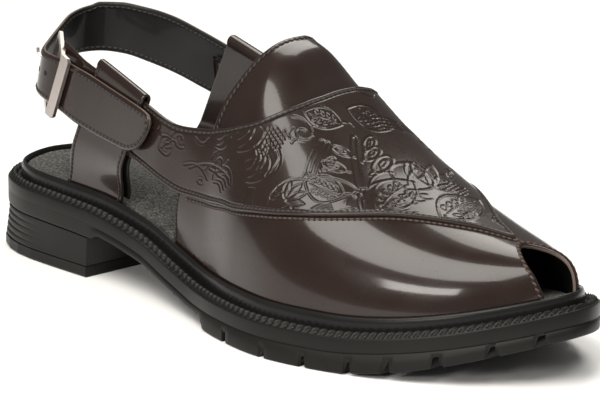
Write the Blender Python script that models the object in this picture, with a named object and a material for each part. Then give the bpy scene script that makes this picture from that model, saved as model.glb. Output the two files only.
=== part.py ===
import math

import bmesh
import bpy
import numpy as np

for item in list(bpy.data.objects):
    bpy.data.objects.remove(item, do_unlink=True)

# Driving sizes in metres
SHOE_LENGTH = 0.292
BALL_WIDTH = 0.108
INSTEP_HEIGHT = 0.0895
HEEL_RISE = 0.0163
FOREFOOT_THICKNESS = 0.0108
TOE_SPRING = 0.0150
OUTSOLE_STRIP = 0.0087
SHANK_THICKNESS = 0.0064
LUG_DEPTH = 0.0040
TOE_THINNING = 0.0030
TOP_LIFT_THICKNESS = 0.0045
HEEL_FLARE = 0.0030
WELT_HEIGHT = 0.0037
WELT_WIDTH = 0.0053
RAND_HEIGHT = 0.0087
RAND_THICKNESS = 0.0018
INSOLE_TOP = 0.0068
LEATHER = 0.0018
OVERLAY_LEATHER = 0.0012
STRAP_LEATHER = 0.0014
HEEL_STRAP_THICKNESS = 0.0018
TONGUE_THICKNESS = 0.0025
GAP = 0.0003
SOLE_ROUND = 0.0008
HEEL_RIBS = 5
HEEL_GROOVE = 0.0009
HEEL_INSET = 0.0004
LIFT_INSET = 0.0002
BREAST_SLANT = 0.0032
WELT_ROUND = 0.0007
RAND_ROUND = 0.0005
INSOLE_PLAY = 0.0002
INSOLE_TOE_PLAY = 0.0013
BACK_REACH = HEEL_FLARE * 0.6 - LIFT_INSET
CENTRE = np.array([(SHOE_LENGTH - BACK_REACH) * 0.5, 0.0, 0.0])

# Heel breast, start of the lugs and channels between them, as shares of SHOE_LENGTH
HEEL_BREAST = 0.262
LUG_START = 0.525
LUG_SPACING = [0.592, 0.668, 0.728, 0.786, 0.832, 0.885, 0.937, 0.976]
LUG_CHANNEL = 0.0024

# Points to each span of the outline, and stations along each side of the sole
SPAN = 20
STATIONS = 40

# Plan outline of the sole, heel to toe and back
# columns: along as a share of SHOE_LENGTH, across as a share of BALL_WIDTH, medial positive
OUTLINE = [
    (0.000, 0.000), (0.014, -0.150), (0.045, -0.262), (0.100, -0.328), (0.170, -0.347),
    (0.270, -0.345), (0.375, -0.350), (0.480, -0.400), (0.570, -0.470), (0.655, -0.500),
    (0.735, -0.462), (0.820, -0.375), (0.895, -0.262), (0.952, -0.130), (0.988, -0.005),
    (1.000, 0.100), (0.985, 0.210), (0.950, 0.315), (0.895, 0.405), (0.820, 0.472),
    (0.745, 0.500), (0.665, 0.482), (0.580, 0.420), (0.500, 0.355), (0.415, 0.312),
    (0.330, 0.306), (0.240, 0.320), (0.160, 0.330), (0.095, 0.306), (0.045, 0.246),
    (0.014, 0.140),
]
TOE_POINT = 15

# Height of the sole's upper face above its forefoot level
# columns: along as a share of SHOE_LENGTH, rise as a share of HEEL_RISE
SEAT_RISE = [
    (0.0, 1.0), (0.154, 0.975), (0.257, 0.90), (0.36, 0.595), (0.44, 0.22), (0.52, 0.0), (1.0, 0.0),
]

# Ridge of the upper over the foot
# columns: along as a share of SHOE_LENGTH, height as a share of INSTEP_HEIGHT
RIDGE = [
    (0.27, 1.34), (0.38, 1.28), (0.45, 1.23), (0.534, 1.14), (0.58, 1.02), (0.65, 0.842),
    (0.705, 0.724), (0.774, 0.619), (0.84, 0.550), (0.897, 0.508), (0.94, 0.482), (0.975, 0.465),
]
# columns: along as a share of SHOE_LENGTH, ridge offset to the medial side as a share of BALL_WIDTH
RIDGE_SIDE = [
    (0.30, 0.0), (0.45, 0.035), (0.50, 0.085), (0.56, 0.085), (0.65, 0.06), (0.774, 0.068),
    (0.90, 0.085), (0.975, 0.10),
]
UPPER_INSET = 0.0077
UPPER_ROUNDNESS = 2.44

# Plan path of the ankle straps, lateral front round the heel to medial front
# columns: along as a share of SHOE_LENGTH, across as a share of BALL_WIDTH
STRAP_PATH = [
    (0.514, -0.329), (0.445, -0.316), (0.384, -0.302), (0.291, -0.278), (0.200, -0.262),
    (0.152, -0.250), (0.126, -0.224), (0.110, -0.176), (0.095, -0.120), (0.079, -0.052), (0.070, 0.030),
    (0.080, 0.112), (0.118, 0.186), (0.188, 0.238), (0.291, 0.265), (0.384, 0.279), (0.445, 0.292),
    (0.514, 0.306),
]
STRAP_LEAN = 0.10
BACK_LEAN = 0.26
STRAP_LEVEL = 0.70
BACK_LEVEL = 0.80

# Bands of the upper, lateral half; the medial half mirrors the turn
# columns: inner edge along, inner edge turn, outer edge along, outer edge turn
PANEL_BAND = [
    (0.455, 0.150, 0.410, 0.0), (0.480, 0.168, 0.470, 0.0), (0.510, 0.190, 0.540, 0.0),
    (0.545, 0.215, 0.610, 0.0), (0.570, 0.255, 0.690, 0.0), (0.585, 0.300, 0.770, 0.0),
    (0.597, 0.345, 0.850, 0.0), (0.605, 0.385, 0.920, 0.0), (0.610, 0.420, 0.966, 0.0),
    (0.613, 0.445, 0.961, 0.107), (0.615, 0.465, 0.948, 0.269), (0.616, 0.482, 0.926, 0.400),
    (0.616, 0.500, 0.900, 0.500),
]
OVERLAY_BAND = [
    (0.270, 0.179, 0.270, 0.091), (0.330, 0.177, 0.330, 0.082), (0.371, 0.170, 0.386, 0.080),
    (0.418, 0.168, 0.435, 0.079), (0.470, 0.183, 0.487, 0.088), (0.498, 0.197, 0.557, 0.110),
    (0.530, 0.220, 0.624, 0.155), (0.556, 0.255, 0.681, 0.213), (0.573, 0.295, 0.730, 0.279),
    (0.586, 0.340, 0.770, 0.347), (0.596, 0.395, 0.815, 0.415), (0.600, 0.450, 0.853, 0.470),
    (0.600, 0.500, 0.888, 0.500),
]
# columns: turn, along of the rear edge
TONGUE_ARCH = [(0.150, 0.474), (0.191, 0.480), (0.235, 0.486), (0.290, 0.495), (0.348, 0.501),
               (0.402, 0.506), (0.500, 0.509)]
TONGUE_FRONT = 0.655

# Layers of the ankle straps, out from the strap wall
WING_OUT = GAP + OVERLAY_LEATHER
OUT_SIDE = WING_OUT + GAP + STRAP_LEATHER + GAP
OUT_BACK = WING_OUT + GAP
INNER_LEG_END = 0.16
# columns: side, rear and front along at the sole, rear and front along at the fold,
# rear and front height of the fold, as shares of SHOE_LENGTH and INSTEP_HEIGHT
SIDE_STRAPS = {
    "side_strap_lateral": (-1, 0.175, 0.288, 0.254, 0.362, 0.970, 0.872),
    "side_strap_medial": (1, 0.192, 0.305, 0.304, 0.410, 1.020, 0.905),
}
# columns: side, along as a share of SHOE_LENGTH, upper and lower edge as shares of INSTEP_HEIGHT,
# bulge of the strap off its layer as a share of its thickness
HEEL_STRAP = [
    (-1, 0.390, 0.795, 0.770, 0.0), (-1, 0.386, 0.810, 0.735, 0.0), (-1, 0.377, 0.822, 0.690, 0.0),
    (-1, 0.362, 0.834, 0.650, 0.0), (-1, 0.340, 0.848, 0.632, 0.0), (-1, 0.300, 0.872, 0.643, 0.0),
    (-1, 0.250, 0.905, 0.665, 0.0), (-1, 0.215, 0.925, 0.688, 0.05), (-1, 0.195, 0.936, 0.706, 0.05),
    (-1, 0.165, 0.947, 0.734, 0.30), (-1, 0.142, 0.951, 0.750, 0.45), (-1, 0.127, 0.958, 0.760, 0.50),
    (-1, 0.113, 0.980, 0.780, 0.45), (-1, 0.096, 1.025, 0.815, 0.15), (-1, 0.080, 1.065, 0.845, 0.0),
    (1, 0.073, 1.090, 0.862, 0.0), (1, 0.084, 1.104, 0.864, 0.0), (1, 0.110, 1.104, 0.854, 0.0),
    (1, 0.145, 1.088, 0.826, 0.0), (1, 0.190, 1.062, 0.790, 0.0), (1, 0.240, 1.018, 0.744, 0.0),
    (1, 0.290, 0.970, 0.705, 0.0), (1, 0.340, 0.915, 0.672, 0.0), (1, 0.370, 0.885, 0.655, 0.0),
]

# Buckle, lengths in metres, along as shares of SHOE_LENGTH and heights of INSTEP_HEIGHT
STRAP_BULGE = 0.45
BUCKLE_TILT = 0.0009
FAR_TILT = 0.0024
BUCKLE_LENGTH = 0.0266
BUCKLE_THICKNESS = 0.0015
BAR_DIP = 0.0017
PRONG_RADIUS = 0.00065
NEAR_BAR = 0.0050
FAR_BAR = 0.0024
SHORT_BAR = 0.0022
HINGE_RADIUS = 0.0008
HINGE_SPAN = BUCKLE_LENGTH - 2 * SHORT_BAR
NEAR_ALONG = 0.1905
NEAR_SLANT = 0.0155
NEAR_HEIGHT = 0.825
FAR_ALONG = 0.119
FAR_HEIGHT = 0.905
HINGE_ALONG = 0.170
BUCKLE_CORNER = 0.0012
BUCKLE_INNER_CORNER = 0.0003
PRONG_HOLE_LENGTH = 0.0044
PRONG_HOLE_HEIGHT = 0.0032
PRONG_PLAY = 0.0002
FOLD_PLAY = 0.0004


def smooth(value):
    value = np.clip(value, 0.0, 1.0)
    return value * value * (3.0 - 2.0 * value)


def curve(table, value):
    """Smooth line through a table of two columns, without overshoot."""
    data = np.array(table, float)
    xs, ys = data[:, 0], data[:, 1]
    step = np.diff(xs)
    slope = np.diff(ys) / step
    tangent = np.zeros(len(xs))
    tangent[0], tangent[-1] = slope[0], slope[-1]
    for k in range(1, len(xs) - 1):
        if slope[k - 1] * slope[k] > 0:
            tangent[k] = 2.0 * slope[k - 1] * slope[k] / (slope[k - 1] + slope[k])
    value = np.clip(np.asarray(value, float), xs[0], xs[-1])
    k = np.clip(np.searchsorted(xs, value, side="right") - 1, 0, len(xs) - 2)
    h = step[k]
    t = (value - xs[k]) / h
    a = (1 + 2 * t) * (1 - t) ** 2
    b = t * (1 - t) ** 2
    c = t * t * (3 - 2 * t)
    d = t * t * (t - 1)
    return a * ys[k] + b * h * tangent[k] + c * ys[k + 1] + d * h * tangent[k + 1]


def spline(points, per_span, closed):
    """Points along a rounded line through the given points."""
    pts = np.array(points, float)
    count = len(pts)
    if closed:
        spans = range(count)
        get = lambda k: pts[k % count]
    else:
        spans = range(count - 1)
        ends = np.vstack([2 * pts[0] - pts[1], pts, 2 * pts[-1] - pts[-2]])
        get = lambda k: ends[k + 1]
    line = []
    for k in spans:
        p0, p1, p2, p3 = get(k - 1), get(k), get(k + 1), get(k + 2)
        for j in range(per_span):
            t = j / per_span
            line.append(0.5 * (2 * p1 + (p2 - p0) * t + (2 * p0 - 5 * p1 + 4 * p2 - p3) * t ** 2
                               + (3 * p1 - p0 - 3 * p2 + p3) * t ** 3))
    if not closed:
        line.append(pts[-1])
    return np.array(line)


def seat(x):
    """Height of the sole's upper face at a distance from the heel."""
    share = np.clip(np.asarray(x, float) / SHOE_LENGTH, 0.0, 1.0)
    lift = TOE_SPRING * np.clip((share - 0.75) / 0.25, 0.0, 1.0) ** 1.7
    return FOREFOOT_THICKNESS + HEEL_RISE * curve(SEAT_RISE, share) + lift


EDGE = spline([(a * SHOE_LENGTH, b * BALL_WIDTH) for a, b in OUTLINE], SPAN, True)
EDGE_TANGENT = np.roll(EDGE, -1, 0) - np.roll(EDGE, 1, 0)
EDGE_TANGENT /= np.linalg.norm(EDGE_TANGENT, axis=1)[:, None]
EDGE_INWARD = np.stack([-EDGE_TANGENT[:, 1], EDGE_TANGENT[:, 0]], -1)


def sides(inset):
    """Lateral and medial edge lines, both from heel to toe, moved inward."""
    moved = EDGE + EDGE_INWARD * inset
    toe = TOE_POINT * SPAN
    return moved[: toe + 1], np.vstack([moved[:1], moved[toe:][::-1]])


def side_at(x, inset, side):
    """Across position of the inset edge line at x, side -1 lateral or 1 medial."""
    line = sides(inset)[0 if side < 0 else 1]
    order = np.argsort(line[:, 0])
    return np.interp(x, line[order, 0], line[order, 1])


PATH = spline([(a * SHOE_LENGTH, b * BALL_WIDTH) for a, b in STRAP_PATH], 12, False)
PATH_TANGENT = np.gradient(PATH, axis=0)
PATH_TANGENT /= np.linalg.norm(PATH_TANGENT, axis=1)[:, None]
PATH_OUT = np.stack([-PATH_TANGENT[:, 1], PATH_TANGENT[:, 0]], -1)
PATH_REACH = np.concatenate([[0.0], np.cumsum(np.linalg.norm(np.diff(PATH, axis=0), axis=1))])
PATH_BACK = int(np.argmin(PATH[:, 0]))


def strap_level(x, z):
    """Inward lean of the strap wall at a height, stronger round the heel."""
    back = 1.0 - smooth((np.asarray(x, float) / SHOE_LENGTH - 0.06) / 0.12)
    lean = STRAP_LEAN + (BACK_LEAN - STRAP_LEAN) * back
    level = STRAP_LEVEL + (BACK_LEVEL - STRAP_LEVEL) * back
    return lean * (np.asarray(z, float) - level * INSTEP_HEIGHT)


def wall_y(x, z, side, out=0.0):
    """Across position of the strap wall beside the ankle, moved outward."""
    line = PATH[: PATH_BACK + 1][::-1] if side < 0 else PATH[PATH_BACK:]
    base = np.abs(np.interp(x, line[:, 0], line[:, 1]))
    return side * (base + out - strap_level(x, z))


def wall_at(reach, z, out):
    """Point of the strap wall at a distance along its path."""
    reach, z, out = np.broadcast_arrays(np.asarray(reach, float), z, out)
    xy = [np.interp(reach, PATH_REACH, PATH[:, k]) for k in range(2)]
    normal = [np.interp(reach, PATH_REACH, PATH_OUT[:, k]) for k in range(2)]
    shift = out - strap_level(xy[0], z)
    return np.stack([xy[0] + normal[0] * shift, xy[1] + normal[1] * shift, z], -1)


def section(x, turn):
    """Point of the upper's outer face: x from the heel, turn 0 lateral sole to 1 medial sole."""
    x, turn = np.broadcast_arrays(np.asarray(x, float), np.asarray(turn, float))
    share = x / SHOE_LENGTH
    low = seat(x) + GAP
    high = INSTEP_HEIGHT * curve(RIDGE, share)
    lateral = side_at(x, UPPER_INSET, -1)
    medial = side_at(x, UPPER_INSET, 1)
    middle = np.clip(BALL_WIDTH * curve(RIDGE_SIDE, share), lateral * 0.5 + medial * 0.5 - 0.02,
                     lateral * 0.1 + medial * 0.9)
    angle = np.clip(turn, 0.0, 1.0) * math.pi
    power = 2.0 / UPPER_ROUNDNESS
    cosine = np.abs(np.cos(angle)) ** power
    z = low + (high - low) * np.abs(np.sin(angle)) ** power
    y = np.where(turn < 0.5, middle - (middle - lateral) * cosine, middle + (medial - middle) * cosine)
    near = 1.0 - smooth((x - 0.39 * SHOE_LENGTH) / (0.12 * SHOE_LENGTH))
    up = smooth((z - seat(x) - 0.010) / 0.022)
    side = np.where(turn < 0.5, -1.0, 1.0)
    strap = np.where(side < 0, wall_y(x, z, -1), wall_y(x, z, 1))
    below = 1.0 - smooth((z - 0.95 * INSTEP_HEIGHT) / 0.012)
    y = y + near * up * below * (strap - y)
    return np.stack([x, y, z], -1)


def skin(x, turn, out=0.0):
    """Point of the upper's face moved along its normal."""
    x, turn = np.broadcast_arrays(np.asarray(x, float), np.asarray(turn, float))
    toe = 0.972 * SHOE_LENGTH
    dx, dt = 0.0008, 0.004
    x0, x1 = np.minimum(x, toe) - dx, np.minimum(x, toe) + dx
    t0, t1 = np.clip(turn - dt, 0.012, 1.0), np.clip(turn + dt, 0.0, 0.988)
    along = section(x1, turn) - section(x0, turn)
    around = section(x, t1) - section(x, t0)
    normal = np.cross(around, along)
    normal /= np.linalg.norm(normal, axis=-1)[..., None] + 1e-12
    centre = section(x, 0.5)
    centre[..., 2] *= 0.5
    point = section(x, turn)
    facing = np.sum(normal * (point - centre), axis=-1)
    normal = np.where(facing[..., None] < 0, -normal, normal)
    return point + normal * np.asarray(out, float)[..., None] if np.ndim(out) else point + normal * out


# Node building
SHADES = {
    "rubber": (0.045, 0.045, 0.043), "edge": (0.02, 0.02, 0.02), "leather": (0.055, 0.035, 0.03),
    "lining": (0.03, 0.028, 0.027), "insole": (0.11, 0.108, 0.10), "nickel": (0.62, 0.56, 0.53),
}


def material(name, shade, metal, rough):
    mat = bpy.data.materials.new(name)
    mat.use_nodes = True
    shader = mat.node_tree.nodes["Principled BSDF"]
    shader.inputs["Base Color"].default_value = (*SHADES[shade], 1.0)
    shader.inputs["Metallic"].default_value = metal
    shader.inputs["Roughness"].default_value = rough
    return mat


def solid(name, points, faces, shade, rounded=True, metal=0.0, rough=0.5):
    """Closed body from points and faces, faces turned outward."""
    mesh = bpy.data.meshes.new(name)
    work = bmesh.new()
    made = [work.verts.new(tuple(np.asarray(p, float) - CENTRE)) for p in points]
    for face in faces:
        ring = [made[k] for k in face]
        if len(set(face)) == len(face):
            work.faces.new(ring)
    bmesh.ops.remove_doubles(work, verts=work.verts, dist=1e-7)
    bmesh.ops.recalc_face_normals(work, faces=work.faces)
    for face in work.faces:
        face.smooth = rounded
    work.to_mesh(mesh)
    work.free()
    part = bpy.data.objects.new(name, mesh)
    part.data.materials.append(material(name, shade, metal, rough))
    bpy.context.scene.collection.objects.link(part)
    return part


def slab(name, outer, inner, shade, open_cells=(), **look):
    """Closed body between two grids of points of the same shape, with cells left open."""
    rows, cols = outer.shape[:2]
    count = rows * cols
    points = np.vstack([outer.reshape(-1, 3), inner.reshape(-1, 3)])
    cells = {(i, j) for i in range(rows - 1) for j in range(cols - 1)} - set(open_cells)
    faces = []
    for i, j in sorted(cells):
        corners = [(i, j), (i + 1, j), (i + 1, j + 1), (i, j + 1)]
        ring = [r * cols + c for r, c in corners]
        faces.append(tuple(ring))
        faces.append(tuple(k + count for k in reversed(ring)))
        beside = [(i, j - 1), (i + 1, j), (i, j + 1), (i - 1, j)]
        for number, other in enumerate(beside):
            if other not in cells:
                a, b = ring[number], ring[(number + 1) % 4]
                faces.append((b, a, a + count, b + count))
    return solid(name, points, faces, shade, **look)


def loop(inset, height, extra=()):
    """Closed line round the sole, lateral heel to toe then medial back, at an inset and height."""
    shares = [0.5 - 0.5 * math.cos(math.pi * k / STATIONS) for k in range(STATIONS + 1)]
    shares = sorted(shares + list(extra))
    lines = []
    toe = TOE_POINT * SPAN
    for index, sign in ((0, -1), (1, 1)):
        flat = sides(0.0)[index]
        reach = np.concatenate([[0.0], np.cumsum(np.linalg.norm(np.diff(flat, axis=0), axis=1))])
        want = np.array(shares) * reach[-1]
        base = np.stack([np.interp(want, reach, flat[:, k]) for k in range(2)], -1)
        amount = inset(base[:, 0]) if callable(inset) else np.full(len(base), inset)
        inward = EDGE_INWARD[: toe + 1]
        if sign > 0:
            inward = np.vstack([EDGE_INWARD[:1], EDGE_INWARD[toe:][::-1]])
        push = np.stack([np.interp(want, reach, inward[:, k]) for k in range(2)], -1)
        lines.append(base + push * amount[:, None])
    plan = np.vstack([lines[0], lines[1][1:-1][::-1]])
    z = height(plan[:, 0]) if callable(height) else np.full(len(plan), height)
    return np.column_stack([plan, z])


def cap(start, count, flip):
    """Strips across a closed line from its lateral to its medial half."""
    half = count // 2
    faces = []
    for k in range(half):
        near, far = k, k + 1
        across_near, across_far = (count - near) % count, (count - far) % count
        face = [near, far, across_far, across_near]
        face = [start + v for v in dict.fromkeys(face)]
        faces.append(tuple(reversed(face)) if flip else tuple(face))
    return faces


def stack(name, loops, shade, hollow=False, **look):
    """Closed body from lines of equal count: capped, or hollow with the last joined to the first."""
    count = len(loops[0])
    points = np.vstack(loops)
    faces = []
    links = list(zip(range(len(loops)), range(1, len(loops))))
    if hollow:
        links.append((len(loops) - 1, 0))
    for low, high in links:
        for k in range(count):
            n = (k + 1) % count
            faces.append((low * count + k, low * count + n, high * count + n, high * count + k))
    if not hollow:
        faces += cap(0, count, True)
        faces += cap((len(loops) - 1) * count, count, False)
    return solid(name, points, faces, shade, **look)


def cutter(name, points, shade="edge"):
    """Helper body with eight corners, listed by x, then y, then z."""
    faces = [(0, 1, 3, 2), (4, 6, 7, 5), (0, 4, 5, 1), (2, 3, 7, 6), (0, 2, 6, 4), (1, 5, 7, 3)]
    return helper(solid(name, points, faces, shade, rounded=False))


def box(name, low, high):
    """Helper box between two corners."""
    points = [(x, y, z) for x in (low[0], high[0]) for y in (low[1], high[1]) for z in (low[2], high[2])]
    return cutter(name, points)


def helper(part):
    part.hide_render = True
    part.display_type = "WIRE"
    return part


def boolean(part, other, operation="DIFFERENCE"):
    change = part.modifiers.new(other.name, "BOOLEAN")
    change.operation = operation
    change.solver = "EXACT"
    change.object = other


# Sole


def bottom(x):
    """Height of the outsole's underside."""
    share = np.asarray(x, float) / SHOE_LENGTH
    strip = OUTSOLE_STRIP + (SHANK_THICKNESS - OUTSOLE_STRIP) * smooth((share - HEEL_BREAST - 0.004) / 0.012)
    tread = smooth((share - LUG_START) / 0.012)
    toe = TOE_THINNING * smooth((share - 0.78) / 0.24)
    return seat(x) - strip - (FOREFOOT_THICKNESS - SHANK_THICKNESS) * tread + toe


def build_sole():
    side = sides(0.0)[0]
    reach = np.concatenate([[0.0], np.cumsum(np.linalg.norm(np.diff(side, axis=0), axis=1))])
    marks = [HEEL_BREAST, HEEL_BREAST + 0.018, LUG_START - 0.003, LUG_START + 0.014]
    extra = [float(np.interp(m * SHOE_LENGTH, side[:, 0], reach) / reach[-1]) for m in marks]
    outsole = stack("outsole", [
        loop(SOLE_ROUND, bottom, extra),
        loop(0.0, lambda x: bottom(x) + SOLE_ROUND, extra),
        loop(0.0, lambda x: seat(x) - SOLE_ROUND * 0.6, extra),
        loop(SOLE_ROUND, seat, extra),
    ], "rubber", rounded=False, rough=0.6)
    for number, share in enumerate(LUG_SPACING):
        x = share * SHOE_LENGTH
        z = float(bottom(x))
        boolean(outsole, box("channel_%d" % number, (x - LUG_CHANNEL / 2, -BALL_WIDTH, z - 0.02),
                             (x + LUG_CHANNEL / 2, BALL_WIDTH, z + LUG_DEPTH)))
    heel_top = lambda x: bottom(np.minimum(x, HEEL_BREAST * SHOE_LENGTH)) - GAP
    low = TOP_LIFT_THICKNESS + GAP

    def back_share(x):
        return 1.0 - smooth(np.asarray(x, float) / (0.75 * HEEL_BREAST * SHOE_LENGTH))

    lines = []
    for k in range(2 * HEEL_RIBS + 1):
        up = k / (2 * HEEL_RIBS)
        groove = HEEL_GROOVE if k % 2 == 0 and 0 < k < 2 * HEEL_RIBS else 0.0
        inset = lambda x, up=up, groove=groove: (HEEL_INSET + groove * (0.25 + 0.75 * back_share(x))
                                                 - HEEL_FLARE * (1 - up) ** 1.3 * back_share(x) * 0.6)
        lines.append(loop(inset, lambda x, up=up: low + (heel_top(x) - low) * up))
    heel = stack("heel_block", lines, "rubber", rounded=False, rough=0.6)
    lift_inset = lambda x: LIFT_INSET - HEEL_FLARE * back_share(x) * 0.6
    lift = stack("top_lift", [
        loop(lambda x: lift_inset(x) + SOLE_ROUND, 0.0),
        loop(lift_inset, SOLE_ROUND),
        loop(lift_inset, TOP_LIFT_THICKNESS),
    ], "rubber", rounded=False, rough=0.65)
    breast = HEEL_BREAST * SHOE_LENGTH
    for part, tag in ((heel, "heel_front"), (lift, "lift_front")):
        points = []
        for x_low, x_high in ((breast - BREAST_SLANT, breast), (SHOE_LENGTH * 1.2, SHOE_LENGTH * 1.2)):
            for y in (-BALL_WIDTH, BALL_WIDTH):
                points.append((x_low, y, -0.01))
                points.append((x_high + 0.2 * BREAST_SLANT, y, 0.05))
        boolean(part, cutter(tag, points))


def build_edges():
    stack("welt", [
        loop(0.0, lambda x: seat(x) + GAP),
        loop(0.0, lambda x: seat(x) + WELT_HEIGHT - WELT_ROUND),
        loop(WELT_ROUND, lambda x: seat(x) + WELT_HEIGHT),
        loop(WELT_WIDTH, lambda x: seat(x) + WELT_HEIGHT),
        loop(WELT_WIDTH, lambda x: seat(x) + GAP),
    ], "rubber", hollow=True, rounded=False, rough=0.55)
    inside = UPPER_INSET - GAP
    outside = inside - RAND_THICKNESS
    stack("rand", [
        loop(outside, lambda x: seat(x) + GAP),
        loop(outside, lambda x: seat(x) + RAND_HEIGHT - 2 * RAND_ROUND),
        loop(outside + RAND_ROUND, lambda x: seat(x) + RAND_HEIGHT),
        loop(inside - RAND_ROUND, lambda x: seat(x) + RAND_HEIGHT),
        loop(inside, lambda x: seat(x) + RAND_HEIGHT - RAND_ROUND),
        loop(inside, lambda x: seat(x) + GAP),
    ], "edge", hollow=True, rough=0.35)
    edge = UPPER_INSET + LEATHER + GAP

    def insole_inset(x):
        share = np.asarray(x, float) / SHOE_LENGTH
        near = smooth((share - 0.12) / 0.03)
        toe = smooth((share - 0.86) / 0.04)
        return UPPER_INSET + INSOLE_PLAY + (edge + GAP - UPPER_INSET) * near + INSOLE_TOE_PLAY * toe

    stack("insole", [
        loop(insole_inset, lambda x: seat(x) + GAP),
        loop(insole_inset, lambda x: seat(x) + INSOLE_TOP - SOLE_ROUND),
        loop(lambda x: insole_inset(x) + SOLE_ROUND, lambda x: seat(x) + INSOLE_TOP),
    ], "insole", rough=0.9)


# Bands of the upper
def band(table, per_row, across):
    """Grid of along and turn between the inner and outer edges, both sides of the foot."""
    rows = np.array(table, float)
    index = np.linspace(0, len(rows) - 1, (len(rows) - 1) * per_row + 1)
    column = [curve(np.column_stack([np.arange(len(rows)), rows[:, k]]), index) for k in range(4)]
    share = np.linspace(0.0, 1.0, across + 1)[:, None]
    along = column[0] * (1 - share) + column[2] * share
    turn = column[1] * (1 - share) + column[3] * share
    along = np.hstack([along, along[:, -2::-1]])
    turn = np.hstack([turn, 1.0 - turn[:, -2::-1]])
    return along * SHOE_LENGTH, turn


def build_upper():
    along, turn = band(PANEL_BAND, 2, 9)
    slab("upper", skin(along, turn, 0.0), skin(along, turn, -LEATHER), "leather", rough=0.35)
    along, turn = band(OVERLAY_BAND, 2, 6)
    slab("vamp_overlay", skin(along, turn, WING_OUT), skin(along, turn, GAP), "leather", rough=0.4)
    turns = np.array([row[0] for row in TONGUE_ARCH])
    turns = np.concatenate([turns, 1.0 - turns[-2::-1]])
    rear = curve(TONGUE_ARCH, np.minimum(turns, 1.0 - turns))
    share = np.linspace(0.0, 1.0, 9)[:, None]
    along = (rear * (1 - share) + TONGUE_FRONT * share) * SHOE_LENGTH
    turn = np.broadcast_to(turns, along.shape)
    outer = -LEATHER - GAP
    inner = outer - TONGUE_THICKNESS
    slab("tongue", skin(along, turn, outer), skin(along, turn, inner), "leather", rough=0.4)


# Ankle straps
def strap_shift(x, z, side, outermost):
    """Inward move that brings a strap's outer face to the sole's inner edge at its foot."""
    rise = smooth((z - seat(x) - RAND_HEIGHT) / 0.020)
    foot = np.abs(side_at(x, UPPER_INSET, side)) - (np.abs(wall_y(x, z, side)) + outermost)
    return foot * (1.0 - rise)


def build_side_strap(name):
    side, low_rear, low_front, top_rear, top_front, fold_rear, fold_front = SIDE_STRAPS[name]
    half = STRAP_LEATHER / 2
    inner_leg = -GAP - half
    outer_leg = WING_OUT + GAP + half
    if side > 0:
        outer_leg += HEEL_STRAP_THICKNESS + GAP
    radius = (outer_leg - inner_leg) / 2
    path = [(t, outer_leg, 0.0, 1.0) for t in np.linspace(0.0, 1.0, 9)]
    for k in range(1, 8):
        angle = math.pi * k / 8
        out = inner_leg + radius + radius * math.cos(angle)
        path.append((1.0, out, radius * math.sin(angle), math.cos(angle)))
    path += [(t, inner_leg, 0.0, -1.0) for t in np.linspace(1.0, INNER_LEG_END, 8)]
    widths = np.linspace(0.0, 1.0, 6)
    grids = []
    for sign in (1.0, -1.0):
        grid = []
        for t, out, lift, facing in path:
            rear = (low_rear + (top_rear - low_rear) * t) * SHOE_LENGTH
            front = (low_front + (top_front - low_front) * t) * SHOE_LENGTH
            x = rear + (front - rear) * widths
            top = (fold_rear + (fold_front - fold_rear) * widths) * INSTEP_HEIGHT - radius
            z = seat(x) + 2 * GAP + (top - seat(x) - 2 * GAP) * t
            extra = math.sqrt(max(0.0, 1.0 - facing * facing)) * half * sign
            z = z + lift + extra
            reach = out + facing * half * sign
            base = np.abs(wall_y(x, z, side)) + reach + strap_shift(x, z, side, outer_leg + half)
            grid.append(np.stack([x, side * base, z], -1))
        grids.append(np.array(grid))
    slab(name, grids[0], grids[1], "leather", rough=0.35)


def path_reach(along, side):
    """Distance along the strap path of a share of the length on one side."""
    x = along * SHOE_LENGTH
    if side < 0:
        return float(np.interp(x, PATH[: PATH_BACK + 1, 0][::-1], PATH_REACH[: PATH_BACK + 1][::-1]))
    return float(np.interp(x, PATH[PATH_BACK:, 0], PATH_REACH[PATH_BACK:]))


def heel_strap_grid(table, per_row, across):
    rows = np.array([(path_reach(row[1], row[0]), row[2], row[3], row[4], row[0], row[1]) for row in table])
    index = np.linspace(0, len(rows) - 1, (len(rows) - 1) * per_row + 1)
    column = [curve(np.column_stack([np.arange(len(rows)), rows[:, k]]), index) for k in range(4)]
    lateral = 1.0 - smooth((column[0] - path_reach(0.16, -1)) / (path_reach(0.05, -1) - path_reach(0.16, -1)))
    base = OUT_BACK + (OUT_SIDE - OUT_BACK) * lateral
    share = np.linspace(0.0, 1.0, across + 1)[:, None]
    z = (column[1] * (1 - share) + column[2] * share) * INSTEP_HEIGHT
    inner = base + column[3] * HEEL_STRAP_THICKNESS
    near = wall_at(np.broadcast_to(column[0], z.shape), z, inner)
    far = wall_at(np.broadcast_to(column[0], z.shape), z, inner + HEEL_STRAP_THICKNESS)
    return near, far


def side_point(along, height, out):
    """Point beside the lateral ankle: along and height in metres, out from the strap wall."""
    return wall_at(path_reach(along / SHOE_LENGTH, -1), height, out)


# Buckle
def tube(name, centre, radius, count, shade, **look):
    """Closed round bar along a line of points."""
    line = np.array(centre, float)
    tangent = np.gradient(line, axis=0)
    tangent /= np.linalg.norm(tangent, axis=1)[:, None]
    side = np.cross(tangent[0], [0.31, 0.52, 0.79])
    side /= np.linalg.norm(side)
    points, faces = [], []
    for k, place in enumerate(line):
        side = side - tangent[k] * np.dot(side, tangent[k])
        side /= np.linalg.norm(side)
        other = np.cross(tangent[k], side)
        for j in range(count):
            angle = 2 * math.pi * j / count
            points.append(place + radius * (math.cos(angle) * side + math.sin(angle) * other))
    for k in range(len(line) - 1):
        for j in range(count):
            n = (j + 1) % count
            faces.append((k * count + j, k * count + n, (k + 1) * count + n, (k + 1) * count + j))
    faces.append(tuple(reversed(range(count))))
    faces.append(tuple((len(line) - 1) * count + j for j in range(count)))
    return solid(name, points, faces, shade, **look)


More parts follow.
